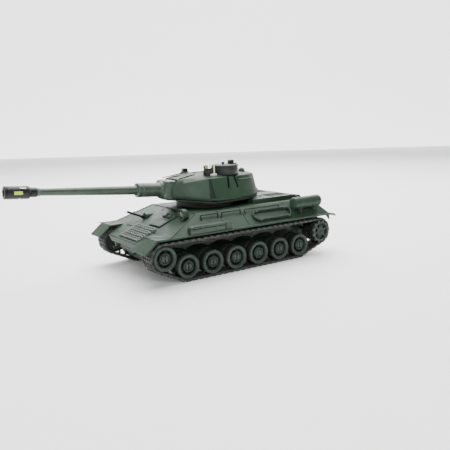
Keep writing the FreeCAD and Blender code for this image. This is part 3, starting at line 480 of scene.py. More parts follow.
def track(side, sign):
    """The rubber track: a continuous web with waffle pads, end knuckles and guide horns."""
    low, high = box_mm(f"track_{side}")
    near, far = sorted((abs(low.y), abs(high.y)))
    form = Form()
    a, b = -sign*(near + 0.7), -sign*(far - 0.7)
    web = [Vector((0, y, z)) for y, z in ((a, 0), (b, 0), (b, WEB), (a, WEB))]
    steps = LINKS*4
    form.loft([[belt_frame(step/steps) @ corner for corner in web] for step in range(steps)], closed=True)
    for link in range(LINKS):
        place = belt_frame(link/LINKS)

        def block(x0, x1, y0, y1, z0, z1, taper=0.15):
            ya, yb = sorted((-sign*y0, -sign*y1))
            form.block((x0, ya, z0), (x1, yb, z1), place, taper)

        block(-2.75, 2.75, near + 0.5, far - 0.5, WEB - 0.4, WEB + 0.55)
        for column in range(4):
            start = near + 1.0 + column*4.2
            for row in (-1, 1):
                block(row*1.45 - 1.0, row*1.45 + 1.0, start, start + 3.3, WEB + 0.3, 2.97)
        for edge in (near, far - 1.5):
            block(-2.2, 2.2, edge, edge + 1.5, 0.35, 2.6, 0.35)
            block(2.6, 4.4, edge + 0.25, edge + 1.25, 0.2, 1.9, 0.3)
        ya, yb = sorted((-sign*51.9, -sign*54.5))
        form.loft([plan(-1.2, 1.2, ya, yb, 0.2), plan(-0.6, 0.6, ya + 0.5, yb - 0.5, -2.6)], place)
    form.piece(f"track_{side}_skin", "hull", "track_rubber", RUBBER, 0, [f"track_{side}"])


for side, sign in BOTH:
    track(side, sign)

# ---- turret

TURRET_TOP = box_mm("turret_shell")[1].z
# corners from the nose to the rear on the left side: foot, chamfer, wall top, roof edge, crown
CORNERS = [
    ((10.6, 12.6, 72.2), (12, 12.6, 76.5), (9.9, 12.5, 84.6), (4.2, 12.5, 90.4), (-4, 7, 92.2)),
    ((8.6, 15.4, 72.0), (9.6, 16.6, 75.4), (1.0, 19.6, 86.8), (-2.0, 15.2, 91.2), (-8, 8, 93.0)),
    ((-17.5, 34.6, 68.4), (-17.6, 35.6, 71.0), (-18.6, 30.6, 90.2), (-19.6, 24.6, 92.4), (-21, 13, 94.0)),
    ((-26, 37.2, 67.9), (-26, 38.2, 70.2), (-26.4, 32.4, 90.8), (-26.4, 25.6, 92.7), (-27, 14, 94.2)),
    ((-48, 36.4, 67.4), (-48, 37.2, 69.6), (-48, 31.8, 91.0), (-47.4, 25.4, 92.8), (-47, 14, 94.3)),
    ((-75.4, 30.2, 67.4), (-75.8, 30.8, 69.6), (-72.4, 27.2, 91.0), (-70.6, 21.8, 92.7), (-66, 13, 94.0)),
    ((-90.4, 19.4, 67.4), (-91, 19.8, 69.6), (-86.4, 17.6, 90.8), (-82.6, 14.2, 92.4), (-77, 9, 93.4)),
    ((-94, 7.6, 67.4), (-94.6, 7.8, 69.6), (-90, 7.2, 90.8), (-85.6, 5.8, 92.4), (-80, 4, 93.3)),
]
SLOT_BACK = -9.0


def turret_shell():
    """The cast turret: flat facets, a wide shoulder, a low crown and an open slot for the mantlet."""
    form = Form()
    rings = []
    for level in range(5):
        left = [Vector(c[level]) for c in CORNERS]
        half = [Vector((SLOT_BACK, left[0].y, left[0].z))] + left
        rings.append(half + [Vector((p.x, -p.y, p.z)) for p in reversed(half)])
    form.loft(rings)
    form.loft([[(x, -12.6, under), (x, 12.6, under), (x, 12.6, side), (x, 0, ridge), (x, -12.6, side)]
               for x, under, side, ridge in ((SLOT_BACK - 1, 88.6, 91.4, 92.2), (3.0, 88.2, 90.4, 91.0))])
    form.piece("turret_shell_skin", *ON_TURRET, 0.9, ["turret_shell"], 3)


def seam(name, body, lines, radius=0.24):
    """Dark panel gaps, laid into the surface along straight lines; under the stowage boxes the line is a painted
    shadow.
    """
    form = Form()
    for line in lines:
        form.tube(line, radius, 6)
    form.piece(name, body, "black_plastic", GAP, 0)


def on_wall(x, z, proud=0.0):
    """A point on the turret's left wall at a given length and height."""
    for near, far in zip(CORNERS, CORNERS[1:]):
        share = (z - near[1][2])/(near[2][2] - near[1][2])
        a, b = (Vector(c[1]).lerp(Vector(c[2]), share) for c in (near, far))
        if b.x <= x <= a.x:
            spot = a.lerp(b, (a.x - x)/(a.x - b.x))
            out = Vector((far[1][1] - near[1][1], near[1][0] - far[1][0], 0)).normalized()
            return Vector((spot.x, spot.y, z)) + (out + 0.24*Z).normalized()*proud
    return Vector((x, 0, z))


turret_shell()
seam("turret_roof_seams", "turret",
     [[(2.6, 12.4, 90.9), (-4, 12.4, 92.1), (-10, 11.6, 93.1), (-17.5, 10.6, 93.95)],
      [(4.4, -18.0, 90.6), (-8, -16, 92.5), (-17.5, -18, 93.6)],
      [(-29, -25, 92.75), (-29, -6, 94.6), (-60, -6, 94.4), (-60, -22, 92.9)]], 0.42)
seam("turret_wall_slots", "turret",
     [[on_wall(-43.4, 91.2, 0.3), on_wall(-42.2, 80, 0.3)],
      [on_wall(-51.6, 91.2, 0.3), on_wall(-54.6, 79.5, 0.3)]], 0.85)

# A dark band along the turret's side ridge: a painted shadow.
band = Form()
band_levels = [(z, 0.07) for z in (71.2, 78, 84, 90.2)] + [(z, -0.5) for z in (90.2, 84, 78, 71.2)]
band.loft([[on_wall(-22 + share*(1.1 + (91 - z)*0.09), z, proud) for z, proud in band_levels]
           for share in (-1, 0, 1)])
band.piece("turret_ridge_painted_shadow", "turret", "hull_green", FACET, 0)

ribs = Form()
for x in (-43.4, -51.6):
    ribs.tube([on_wall(x - 1.5, 90.2, 0.1), on_wall(x - 1.5, 80, 0.1)], 0.5, 8)
for sign in (1, -1):
    for n in range(4):
        spot = on_wall(-60 - 7*n, 74)
        ribs.bolt((spot.x, sign*spot.y, spot.z), (-0.2, sign, 0.2), 0.7, 0.5)
ribs.piece("turret_side_ribs", *ON_TURRET, 0.1)


def bent_bar(form, ends, out, stand, radius):
    """A grab rail: a bar bent in to the plate at both ends."""
    a, b = (Vector(e) for e in ends)
    out, along = Vector(out).normalized(), (b - a).normalized()
    foot = ((-0.4, 0), (stand - 1.1, 0), (stand - 0.3, 0.3), (stand, 1.1))
    form.tube([a + out*rise + along*inward for rise, inward in foot]
              + [b + out*rise - along*inward for rise, inward in reversed(foot)], radius, 8)


rail = Form()
for sign in (1, -1):
    front, rear = on_wall(-56, 87), on_wall(-75, 86.5)
    bent_bar(rail, [(spot.x, sign*spot.y, spot.z) for spot in (front, rear)], (-0.22, sign, 0.2), 2.8, 0.7)
rail.piece("turret_rail_skin", *ON_TURRET, 0, ["turret_grab_rails"])


def cupola():
    """The commander's cupola: a drum with vision slits, a rim, and a hinged lid."""
    low, high = box_mm("commander_cupola")
    middle, radius, bottom, top = (low + high)/2, (high.x - low.x)/2, low.z, high.z
    place = standing(middle)
    form = Form()
    form.lathe([(bottom, POLE), (bottom, 0), (bottom + 1.2, 0), (bottom + 1.6, -0.7), (top - 2.4, -0.7),
                (top - 2.2, -0.1), (top - 0.5, -0.1), (top, -0.8), (top, -2.2), (top - 0.5, -2.5),
                (top - 0.5, POLE)], place, 72, at=(0, radius))
    form.lathe([(-0.6, -3.0), (-0.2, -3.2), (0, -3.7), (0, POLE)], place, 72, at=(top, radius))
    for y in (-4.5, 1.5):
        form.block((2.0 - radius, y, top - 1), (4.2 - radius, y + 3, top + 0.9), place)
    # The cupola's body takes the dark green as painted shade on its side.
    form.piece("cupola_skin", "turret", "hull_green", SHADED_GREEN, 0.15, ["commander_cupola"])
    # A dark band in the recessed waist: painted shade.
    shade = Form()
    shade.hoop([(bottom + 2.4, -1.2), (bottom + 2.4, -0.62), (top - 3.0, -0.62), (top - 3.0, -1.2)],
                place, 72, at=(0, radius))
    shade.piece("cupola_recess_painted_shade", "turret", "black_plastic", CABLE, 0)
    slits = Form()
    for n in range(5):
        angle = radians(20 + 72*n)
        out = Vector((cos(angle), sin(angle), 0))
        place = facing(middle + out*(radius - 0.85), Z, out)
        slits.block((-0.9, -3.2, -0.5), (0.9, 3.2, 0.55), place, 0.15)
    slits.piece("cupola_vision_slits", *TURRET_BLACK, 0.1)


def periscope(form, low, high):
    """A periscope head: a box with a sloped brow and a sunk window on its front."""
    (a, b, c), (d, e, f) = low, high
    form.loft([plan(a, d, b, e, c), plan(a, d, b, e, f - 0.8), plan(a + 0.5, d - 0.9, b + 0.4, e - 0.4, f)])
    form.block((d - 0.2, b + 0.7, c + (f - c)*0.3), (d + 0.25, e - 0.7, c + (f - c)*0.72))
    form.block((a - 0.3, b - 0.3, c), (d + 0.4, e + 0.3, c + 0.8))


def turret_fittings():
    """The periscopes, the hit sensor on its bracket, and the ventilator."""
    form = Form()
    base, lid = TURRET_TOP + 2.0, box_mm("commander_cupola")[1].z - 0.4
    periscope(form, (-25.2, -20.6, base), (-20.2, -15.8, TURRET_TOP + 6))
    periscope(form, (-62, 12.5, lid), (-57, 17.5, box_mm("periscopes")[1].z))
    form.lathe([(0, 1.0), (1.2, 0.9), (1.6, 1.7), (2.6, 1.8), (3.2, 1.1), (3.3, 0)],
               standing((-48, 17.5), lid), 24)
    form.piece("periscope_skin", *TURRET_BLACK, 0.15, ["periscopes"])
    plate = Form()
    plate.lathe([(-2.4, 5.4), (-0.1, 4.9), (0.1, 4.5), (0.1, 0)], standing((-22.7, -18.2), base), 32)
    plate.piece("periscope_base_ring", *ON_TURRET, 0.15)

    low, high = box_mm("hit_sensor_cap")
    middle, radius, bottom, top = (low + high)/2, (high.x - low.x)/2, low.z, high.z
    place = standing(middle)
    form = Form()
    form.lathe([(TURRET_TOP - 0.5, POLE), (TURRET_TOP - 0.5, 0.3), (bottom - 2.6, 0.3),
                (bottom - 2.2, -0.3), (bottom - 0.1, -0.3), (bottom - 0.1, POLE)], place, 40,
               at=(0, radius))
    for n in range(3):
        form.block((radius - 1.0, -1.2, bottom - 1), (radius - 0.3, 1.2, top - 1.0),
                   turned(place, 120*n + 15))
    form.piece("hit_sensor_pot_skin", *TURRET_BLACK, 0.12, ["hit_sensor_base"])
    dome = Form()
    dome.lathe([(bottom, POLE), (bottom, 0), (top - 1.2, 0), (top - 0.35, -0.45), (top, -1.6), (top, POLE)],
               place, 40, at=(0, radius))
    dome.piece("hit_sensor_cap_skin", "turret", "clear_cap", CAP, 0, ["hit_sensor_cap"])
    holder = Form()
    holder.block((-6.8, 1.2, TURRET_TOP - 0.3), (0.4, 6.2, TURRET_TOP + 2.1), place)
    holder.block((-5.6, 3.2, TURRET_TOP + 1), (-4.4, 4.6, top - 0.6), place)
    holder.block((-5.6, -3.0, top - 1.4), (-4.3, 4.6, top - 0.3), place)
    holder.piece("hit_sensor_bracket", "turret", "clear_cap", BRACKET, 0.2)

    low, high = box_mm("ventilator_dome")
    middle, radius, top = (low + high)/2, (high.x - low.x)/2, high.z + 0.9
    form = Form()
    form.lathe([(low.z, 0), (low.z, radius + 0.4), (low.z + 0.8, radius + 0.4), (low.z + 1.2, radius)]
               + [(top - radius*(1 - cos(a)), radius*sin(a)) for a in degrees(75, -1, -15)],
               standing(middle), 32)
    form.piece("ventilator_skin", *ON_TURRET, 0, ["ventilator_dome"])


cupola()
turret_fittings()

# ---- gun

TRUNNION = pivot("gun")
brake_low, brake_high = box_mm("muzzle_brake")
RISE = atan2((brake_low.z + brake_high.z)/2 - TRUNNION.z, (brake_low.x + brake_high.x)/2 - TRUNNION.x)
LEVEL_GUN = Matrix.Translation(TRUNNION) @ Matrix.Rotation(-RISE, 4, "Y")
GUN = LEVEL_GUN @ Matrix.Rotation(pi/2, 4, "Y")
BRAKE_RAD, BRAKE_LEN, COLLAR_LEN, SLEEVE_REACH, SLEEVE_RAD = 5.7, 21.0, 6.4, 49.8, 6.95
REACH = (brake_high.x - TRUNNION.x - BRAKE_RAD*sin(RISE))/cos(RISE)


def gun():
    """The mantlet and its sleeve, the barrel, and the muzzle brake with its lime lamp windows."""
    form = Form()
    profile = [(9.5, 4), (12.2, 9.9), (18.6, 9.9), (21.4, 9.0), (22.9, 6.4), (23.6, 2.5), (23.7, -2),
               (22.8, -6), (20.8, -9.0), (17.6, -10.4), (13.4, -9.6), (9.5, -5)]
    middle = 15.5
    half = ((12, 0.80), (11.7, 0.90), (10.6, 0.97), (8, 1))
    widths = [(-y, draw) for y, draw in half] + list(reversed(half))
    form.loft([[(middle + (x - middle)*draw, y, z*draw) for x, z in profile] for y, draw in widths],
              LEVEL_GUN)
    form.block((-3.4, -7, -4), (21, 7, 4), LEVEL_GUN)
    form.lathe([(-15.2, 0), (-15.2, 1.9), (15.2, 1.9), (15.2, 0)],
               LEVEL_GUN @ Matrix.Rotation(pi/2, 4, "X"), 24)
    sleeve = [(-6, 0), (-5.6, -0.5), (-5.2, 0), (-0.8, 0), (0, -0.8)]
    form.lathe([(18, 0), (18, 8.6), (22.6, 8.6), (24.4, 8.0), (25.2, 7.2), (27.0, SLEEVE_RAD)]
               + [(SLEEVE_REACH + x, SLEEVE_RAD + r) for x, r in sleeve] + [(SLEEVE_REACH, 0)], GUN, 56)
    form.piece("mantlet_skin", "gun", "hull_green", GUN_GREEN, 0.35, ["gun_mantlet"], 3)

    brake_foot = REACH - BRAKE_LEN
    tube_end = brake_foot - COLLAR_LEN
    form = Form()
    form.lathe([(SLEEVE_REACH - 0.5, 0), (SLEEVE_REACH - 0.5, 5.0), (SLEEVE_REACH + 1.2, 4.9),
                (SLEEVE_REACH + 1.8, 4.4), (tube_end - 3, 3.2), (tube_end - 2.6, 3.6), (tube_end, 3.6),
                (tube_end, 0)], GUN, 48)
    form.piece("gun_barrel_skin", "gun", "hull_green", GUN_GREEN, 0, ["gun_barrel"])

    form = Form()
    collar = [(tube_end, 0), (tube_end, 3.9), (tube_end + 0.4, 4.3), (brake_foot - 0.9, 4.3),
              (brake_foot, 5.2), (brake_foot + 0.6, BRAKE_RAD)]
    ported = [(-13.8, 0), (-13.4, -0.7), (-12.6, -0.7), (-12.2, 0), (-2.2, 0), (-1.8, -0.5), (-1.4, 0),
              (-0.5, 0), (0, -0.5)]
    form.lathe(collar + [(REACH + x, BRAKE_RAD + r) for x, r in ported]
               + [(REACH, 3.3), (REACH - 0.7, 3.0), (REACH - 9, 2.9), (REACH - 9, 0)], GUN, 56)
    form.piece("muzzle_brake_skin", "gun", "black_plastic", BLACK, 0.08, ["muzzle_brake"])
    form = Form()
    for half in (-1, 1):
        form.loft([[(x, half*y, z) for y, z in ((5.25, -1.5), (5.85, -1.3), (5.85, 1.3), (5.25, 1.5))]
                   for x in (REACH - 14.5, REACH - 7.5)], LEVEL_GUN)
    form.piece("muzzle_lamp_skin", "gun", "lime_lens", LIME, 0.15, ["muzzle_lamp"])
    # A small white bar on the brake: a painted glint.
    form = Form()
    form.loft([[(x, y, z) for y, z in ((3.6, 4.15), (4.35, 3.5), (4.7, 4.1), (4.0, 4.75))]
               for x in (REACH - 17.5, REACH - 12.5)], LEVEL_GUN)
    form.piece("muzzle_lamp_glint", "gun", "lamp_lens", GLINT_WHITE, 0.1)


gun()

# ---- hull front

def spare_links():
    """Spare track links laid on the glacis, with the same waffle pads as the tracks; the pads carry a painted
    highlight and the black plates under them painted shade in the gaps.
    """
    low, high = box_mm("spare_track_plate")
    near, far = low.y, high.y
    form, bed = Form(), Form()
    bed.block((34.6, near + 1.2, 0), (58, far - 1.2, 0.4), GLACIS)
    for row in range(4):
        start = 34.6 + 6*row
        bed.block((start + 0.25, near + 0.8, 0), (start + 5.2, far - 0.8, 0.7), GLACIS, 0.12)
        for column in range(9):
            width = (far - near - 2.4)/9
            y = near + 1.2 + column*width
            for x in (start + 0.2, start + 3.0):
                form.block((x, y + 0.65, 0.3), (x + 1.9, y + width - 0.65, 2.0), GLACIS, 0.3)
            form.block((start + 1.6, y + width*0.35, 0.3), (start + 3.6, y + width*0.65, 1.3), GLACIS, 0.1)
        for end in (near, far - 1.6):
            form.block((start + 0.7, end, 0), (start + 3.1, end + 1.6, 1.7), GLACIS, 0.2)
            form.block((start + 3.9, end + 0.2, 0), (start + 5.9, end + 1.4, 1.3), GLACIS, 0.2)
    form.piece("spare_links_skin", "hull", "hull_green", LINK, 0.1, ["spare_track_plate"])
    # Black link plates under the pads: painted shade in the gaps.
    bed.piece("spare_links_gap_shade", *HULL_BLACK, 0)


def driver_hatch():
    """The driver's hatch: a lid in a dark gap, two periscope hoods and a hinge."""
    form = Form()
    form.loft([plan(12, 31.2, 5.6, 24.4, -0.4), plan(12, 31.2, 5.6, 24.4, 0.6),
               plan(12.5, 30.7, 6.1, 23.9, 1.05)], GLACIS)
    form.tube([GLACIS @ Vector((10.6, y, 0.9)) for y in (7, 15, 23)], 1.0, 12)
    for y in (6.5, 14, 21.5):
        form.block((9.6, y, -0.3), (14.0, y + 2.2, 1.6), GLACIS, 0.2)
    form.piece("driver_hatch_skin", *ON_HULL, 0.18, ["driver_hatch"])
    hoods = Form()
    for y in (7.6, 17.0):
        hoods.loft([[(x, v, z) for v, z in ((y, -0.2), (y + 5.2, -0.2), (y + 4.6, top), (y + 0.6, top))]
                    for x, top in ((12.8, 2.0), (16.6, 3.3))], GLACIS)
    hoods.piece("driver_periscope_hoods", *ON_HULL, 0.25)
    glass = Form()
    for y in (7.6, 17.0):
        glass.block((16.5, y + 0.9, 0.5), (17.0, y + 4.3, 2.6), GLACIS)
    glass.piece("driver_periscope_windows", *HULL_BLACK, 0.08)
    corners = ((12, 4.7), (31.6, 4.7), (32.1, 5.2), (32.1, 24.8), (31.6, 25.3), (8, 25.3))
    seam("driver_hatch_gap", "hull", [[GLACIS @ Vector((u, v, 0.1)) for u, v in corners]], 0.4)


def bow_gun():
    """The bow machine gun: a hooded ball mount and a thin barrel."""
    low, high = box_mm("bow_gun_mount")
    ball_rad, height, aside = 3.8, 51, (low.y + high.y)/2
    front = high.x - ball_rad
    along = facing((front, aside, height), Y, X)
    form = Form()
    form.lathe([(-17, 4.3), (-0.9, 4.5), (-0.4, 4.9), (0.7, 4.9), (1.0, 4.5), (1.0, 3.7), (-1, 3.6),
                (-1, 0)], along, 40)
    form.piece("bow_gun_hood_skin", *ON_HULL, 0.1, ["bow_gun_mount"])
    ball = Form()
    ball.lathe([(3.6*sin(a) - 1, 3.6*cos(a)) for a in degrees(-10, 90, 9)] + [(2.6, 0)], along, 32)
    tip = box_mm("bow_gun_barrel")[1]
    start, end = Vector((front, aside, height)), Vector((tip.x - 0.4, aside, tip.z - 0.8))
    reach = (end - start).length
    ball.lathe([(0, 2.2), (4.4, 1.8), (4.8, 1.2), (reach - 3, 1.1), (reach - 2.6, 1.3), (reach, 1.3),
                (reach, 0.5), (reach - 2, 0.4)], facing(start, Y, end - start), 20)
    ball.piece("bow_gun_ball_and_barrel", *HULL_BLACK, 0, ["bow_gun_barrel"])


def headlight():
    """The headlight: a domed can with a rim, a lens, a stem, a bolted bracket and a lead."""
    low, high = box_mm("headlight")
    radius = (high.y - low.y)/2
    middle = Vector((high.x - 3, (low.y + high.y)/2, high.z - radius))
    forward = facing(middle, Y, X)
    form = Form()
    form.lathe([(-radius*cos(a), radius*sin(a)) for a in (radians(d) for d in (3, 15, 30, 45, 60, 75))]
               + [(0, radius), (1.6, radius), (1.9, radius + 0.3), (2.9, radius + 0.3), (3.0, radius - 0.2),
                  (2.8, radius - 0.9), (1.0, radius - 1.3), (-2.5, 1.5), (-2.5, 0)], forward, 40)
    form.lathe([(-10.5, 2.6), (-radius*0.6, 2.2), (-radius*0.3, 2.2)], Matrix.Translation(middle), 20)
    bracket = middle - Vector((3.5, 0, 9.5))
    form.block(bracket - Vector((1, 3, 1.5)), bracket + Vector((6, 3, 1.6)))
    for y in (-2, 2):
        form.bolt(bracket + Vector((5, y, 1.6)), Z, 0.6, 0.5)
    form.piece("headlight_skin", *ON_HULL, 0.15, ["headlight"])
    lens = Form()
    lens.lathe([(1.2, radius - 1.5), (1.6, radius - 1.0), (2.2, radius - 1.4), (2.75, radius*0.45),
                (2.9, 0)], forward, 40)
    lens.piece("headlight_lens_skin", "hull", "lamp_lens", LENS, 0, ["headlight_lens"])
    bulb = Form()
    bulb.lathe([(-2.4, 0), (-2.2, 1.6), (0.6, 3.1), (0.6, 0)], forward, 24)
    bulb.piece("headlight_reflector", "hull", "lamp_lens", BIN, 0)
    lead = Form()
    lead.tube([middle + Vector((0, -radius + 0.8, -2))]
              + [GLACIS @ Vector(p) for p in ((9, 27.5, 1.4), (12, 26.4, 0.7), (16, 26, 0.5))], 0.55, 8)
    lead.piece("headlight_lead", *HULL_BLACK, 0)


spare_links()
driver_hatch()
bow_gun()
headlight()

trim = Form()
for sign in (1, -1):
    edge_top = Vector((ROOF_FRONT, sign*ROOF_HALF, ROOF_Z))
    edge_foot = Vector((40.9, sign*FOOT_HALF, FENDER_TOP))
    trim.tube([edge_top.lerp(edge_foot, n/24) + Vector((0, 0, 0.12*(-1)**n)) for n in range(25)], 0.55, 8)
    trim.tube([edge_foot.lerp(Vector((57.5, sign*43, FENDER_TOP + 0.1)), n/8) for n in range(9)], 0.4, 8)
trim.tube([(NOSE.x - 0.9, y, NOSE.z - 0.2) for y in range(-34, 35, 4)], 1.5, 12)
trim.tube([(ROOF_FRONT, y, ROOF_Z + 0.05) for y in range(-44, 45, 8)], 0.4, 8)
for sign in (1, -1):
    for x, y in ((52, 31), (46, 36), (5, 12)):
        trim.bolt(GLACIS @ Vector((x, sign*y, 0)), GLACIS.to_3x3() @ Z, 0.8, 0.5)
trim.piece("hull_front_trim", *ON_HULL, 0.05)

hooks = Form()
for sign in (1, -1):
    low, high = box_mm("tow_hooks")
    y = sign*(abs(low.y) - 1.5)
    hooks.tube([(high.x - 0.9 - 3.2*sin(a), y, high.z - 1.2 - 2.4*(1 - cos(a)))
                for a in degrees(0, 261, 20)], 0.9, 10)
    hooks.block((high.x - 2.4, y - 1.5, high.z - 4.4), (high.x - 0.2, y + 1.5, high.z + 0.2))
hooks.piece("tow_hooks_skin", *ON_HULL, 0.2, ["tow_hooks"])

# ---- hull sides and top

def on_side(sign, x, down, out=0.0):
    """A point on the sloping hull side, a distance down it from the roof edge."""
    return side_plate(sign) @ Vector((x, sign*down, out))


def side_out(sign):
    """The direction straight out of the sloping hull side."""
    return on_side(sign, 0, 0, 1) - on_side(sign, 0, 0)


def stowage_box(side, sign):
    """A long bin on the fender with a rounded front end, a lid line and a strapped end in the wheel green."""
    name = f"stowage_box_{side}"
    (rear, ya, low), (front, yb, high) = box_mm(name)
    near, far = sorted((abs(ya), abs(yb)))
    body = rear + 7.2
    form = Form()
    outline = [(body, low), (front, low), (front, high - 3.2), (front - 0.6, high - 1.4),
               (front - 1.8, high - 0.4), (front - 3.4, high), (body, high)]
    form.loft([[(x, sign*y, z) for x, z in outline] for y in (near, far)])
    lip = [(sign*y, z) for y, z in ((near, high - 2.1), (far + 0.18, high - 2.1), (far + 0.18, high - 1.4),
                                    (near, high - 1.4))]
    form.loft([[(x, y, z) for y, z in lip] for x in (rear + 7.6, front - 3)])
    catch = sorted((sign*(far - 1), sign*(far + 0.3)))
    for x in (rear + 16, rear + 32):
        form.block((x, catch[0], high - 4.4), (x + 2.6, catch[1], high - 0.5))
    form.piece(name + "_skin", "hull", "hull_green", BIN, 0.3, [name], 3)
    foot, lid = sign*(far + 0.1), sign*(far + 0.12)
    # The first line runs under the box as a painted shadow; the lid and end lines are seams.
    seam(name + "_seams", "hull",
         [[(rear, foot, low + 0.2), (front + 0.2, foot, low + 0.2), (front + 0.2, sign*near, low + 0.2)],
          [(rear + 7.3, lid, high - 2.5), (front - 0.4, lid, high - 2.5)],
          [(body, foot, low), (body, foot, high)]], 0.28)
    end = Form()
    a, b = sorted((sign*near, sign*(far - 0.2)))
    end.block((rear, a, low), (rear + 6.9, b, high - 0.3))
    for x in (rear + 1.2, rear + 4.6):
        end.block((x, a - 0.1, low), (x + 1.1, b + 0.25, high))
    end.piece(name + "_end", "hull", "wheel_green", WHEEL, 0.3)


def drum(side, sign):
    """A fuel drum with domed ends, hoops, straps and two cradles, dark as painted shade under the drum."""
    name = f"fuel_drum_{side}"
    low, high = box_mm(name)
    rear, front, middle, radius = low.x, high.x, high.z - 6.3, 6.2
    place = facing((0, sign*55.0, middle), Y, X)
    form = Form()
    profile = [(rear, POLE), (rear, -2.2), (rear + 0.3, -1.2), (rear + 1.1, -0.35), (rear + 2.2, 0)]
    for hoop in (rear + 8, (rear + front)/2, front - 8):
        profile += [(hoop - 0.75, 0), (hoop - 0.5, 0.1), (hoop + 0.5, 0.1), (hoop + 0.75, 0)]
    profile += [(front - 2.2, 0), (front - 1.1, -0.35), (front - 0.3, -1.2), (front, -2.2), (front, POLE)]
    form.lathe(profile, place, 48, at=(0, radius))
    form.piece(name + "_skin", *ON_HULL, 0.15, [name])
    straps = Form()
    for x in (-119.1, -138.1):
        straps.hoop([(-0.8, -0.3), (-0.8, 0.08), (0.8, 0.08), (0.8, -0.3)], place, 48,
                     at=(x, radius))
    # The cradles under the drum are dark: painted shade.
    a, b = sorted((sign*48.6, sign*58.2))
    for x in (-120.6, -139.6):
        straps.block((x, a, middle - 11), (x + 3, b, middle - 4.2))
    straps.piece(name + "_straps", *HULL_DARK, 0)


def engine_deck():
    """The raised engine deck: framed plate, slatted louvres over wells floored in black as painted shade, bolts
    and a hinge.
    """
    low, high = box_mm("engine_deck")
    form = Form()
    well_rear, well_front, wells = -128.0, -100.2, ((9.0, 27.0), (-27.0, -9.0))
    xs = [low.x, well_rear, well_front, high.x]
    ys = [low.y, -27.0, -9.0, 9.0, 27.0, high.y]
    for i in range(3):
        for k in range(5):
            if i == 1 and k in (1, 3):
                continue
            form.block((xs[i], ys[k], low.z), (xs[i + 1], ys[k + 1], high.z))
    bmesh.ops.remove_doubles(form.mesh, verts=form.mesh.verts, dist=0.001)
    doubled = [face for face in form.mesh.faces if all(len(edge.link_faces) > 2 for edge in face.edges)]
    bmesh.ops.delete(form.mesh, geom=doubled, context="FACES_ONLY")
    for sides in wells:
        for slat in range(9):
            x = well_front - 1.6 - 3.05*slat
            form.loft([[(x, y, low.z + 0.6), (x - 1.0, y, low.z + 0.6), (x + 0.6, y, high.z - 0.25),
                        (x + 1.6, y, high.z - 0.25)] for y in sides])
    form.piece("engine_deck_skin", *ON_HULL, 0.25, ["engine_deck"])
    floor = Form()
    for a, b in wells:
        floor.block((well_rear, a, low.z), (well_front, b, low.z + 0.4))
    floor.piece("engine_deck_well_shade", *HULL_BLACK, 0)
    fittings = Form()
    for y in (-31, 31):
        for x in (-78, -90, -102, -114, -128):
            fittings.bolt((x, y, high.z), Z, 0.8, 0.5)
    for y in (-18, 18):
        fittings.loft([[(x, y - 7, high.z - 0.2), (x, y + 7, high.z - 0.2), (x, y + 6.5, high.z + 0.35),
                        (x, y - 6.5, high.z + 0.35)] for x in (-94, -80)])
        fittings.tube([(-93.6, y - 5, high.z + 0.5), (-93.6, y + 5, high.z + 0.5)], 0.5, 10)
    fittings.piece("engine_deck_lids", *ON_HULL, 0.15)
    (rear, a, low_z), (front, b, top) = box_mm("deck_cap")
    form = Form()
    form.loft([plan(rear, front, a, b, low_z), plan(rear, front, a, b, top - 1.6),
               plan(rear + 1.2, front - 1.2, a + 1.6, b - 1.6, top)])
    form.piece("deck_cap_skin", *HULL_BLACK, 0.5, ["deck_cap"], 3)


def side_fittings():
    """Grab rails on both sides, and the left side's tow cable; the rails and their feet are dark as painted shade.
    """
    bars, feet = Form(), Form()
    for sign in (1, -1):
        for rear, front in ((-18.5, 2), (-46, -22), (-96, -50)):
            route = []
            for x, inward in ((rear + 0.6, 1), (front - 0.6, -1)):
                bend = [(x, 8.4, -0.3), (x, 6.6, 1.0), (x, 5.2, 2.2), (x + 0.3*inward, 4.7, 2.4),
                        (x + 1.3*inward, 4.6, 2.4)]
                route += [on_side(sign, *spot) for spot in (bend if inward > 0 else reversed(bend))]
                feet.bolt(on_side(sign, x, 8.0), side_out(sign), 1.25, 0.55)
            bars.tube(route, 0.75, 8)
    # The green rails and their feet take the dark cable colour: painted shade.
    bars.piece("hull_rail_skin", "hull", "hull_green", CABLE, 0, ["hull_grab_rails"])
    feet.piece("hull_rail_feet", *HULL_DARK, 0.08)

    route = []
    reach, rise, bend, loop_x, loop_down = 24.4, 5.6, 5.5, -82.4, 13.74
    for corner, (sx, sy) in enumerate(((1, 1), (-1, 1), (-1, -1), (1, -1))):
        for a in degrees(90*corner, 90*corner + 91, 15):
            route.append((sx*(reach - bend) + bend*cos(a), sy*(rise - bend) + bend*sin(a)))
    dense = []
    for i, (u, v) in enumerate(route):
        p, q = route[i - 1], (u, v)
        count = max(1, int(dist(p, q)/0.9))
        dense += [(p[0] + (q[0] - p[0])*k/count, p[1] + (q[1] - p[1])*k/count) for k in range(1, count + 1)]
    cable = Form()
    place = side_plate(1)
    total = len(dense)
    for strand in range(4):
        points = []
        for i, (u, v) in enumerate(dense):
            before, after = dense[i - 1], dense[(i + 1) % total]
            along = Vector((after[0] - before[0], after[1] - before[1], 0)).normalized()
            side = Vector((-along.y, along.x, 0))
            turn = 2*pi*(round(total/7)*i/total + strand/4)
            twist = 0.62*(cos(turn)*side + sin(turn)*Z)
            points.append(place @ (Vector((loop_x + u, loop_down + v, 1.22)) + twist))
        cable.tube(points, 0.74, 8, closed=True)
    cable.piece("tow_cable_skin", *HULL_DARK, 0, ["tow_cable"])
    clips = Form()
    for x in (-101, -64):
        for rise_side in (-1, 1):
            clips.loft([[place @ Vector((x + dx, loop_down + rise_side*rise + dy, z)) for dy, z in
                         ((-2.1, 0), (2.1, 0), (1.7, 2.45), (-1.7, 2.45))] for dx in (-0.9, 0.9)])
    clips.piece("tow_cable_clips", *ON_HULL, 0.15)


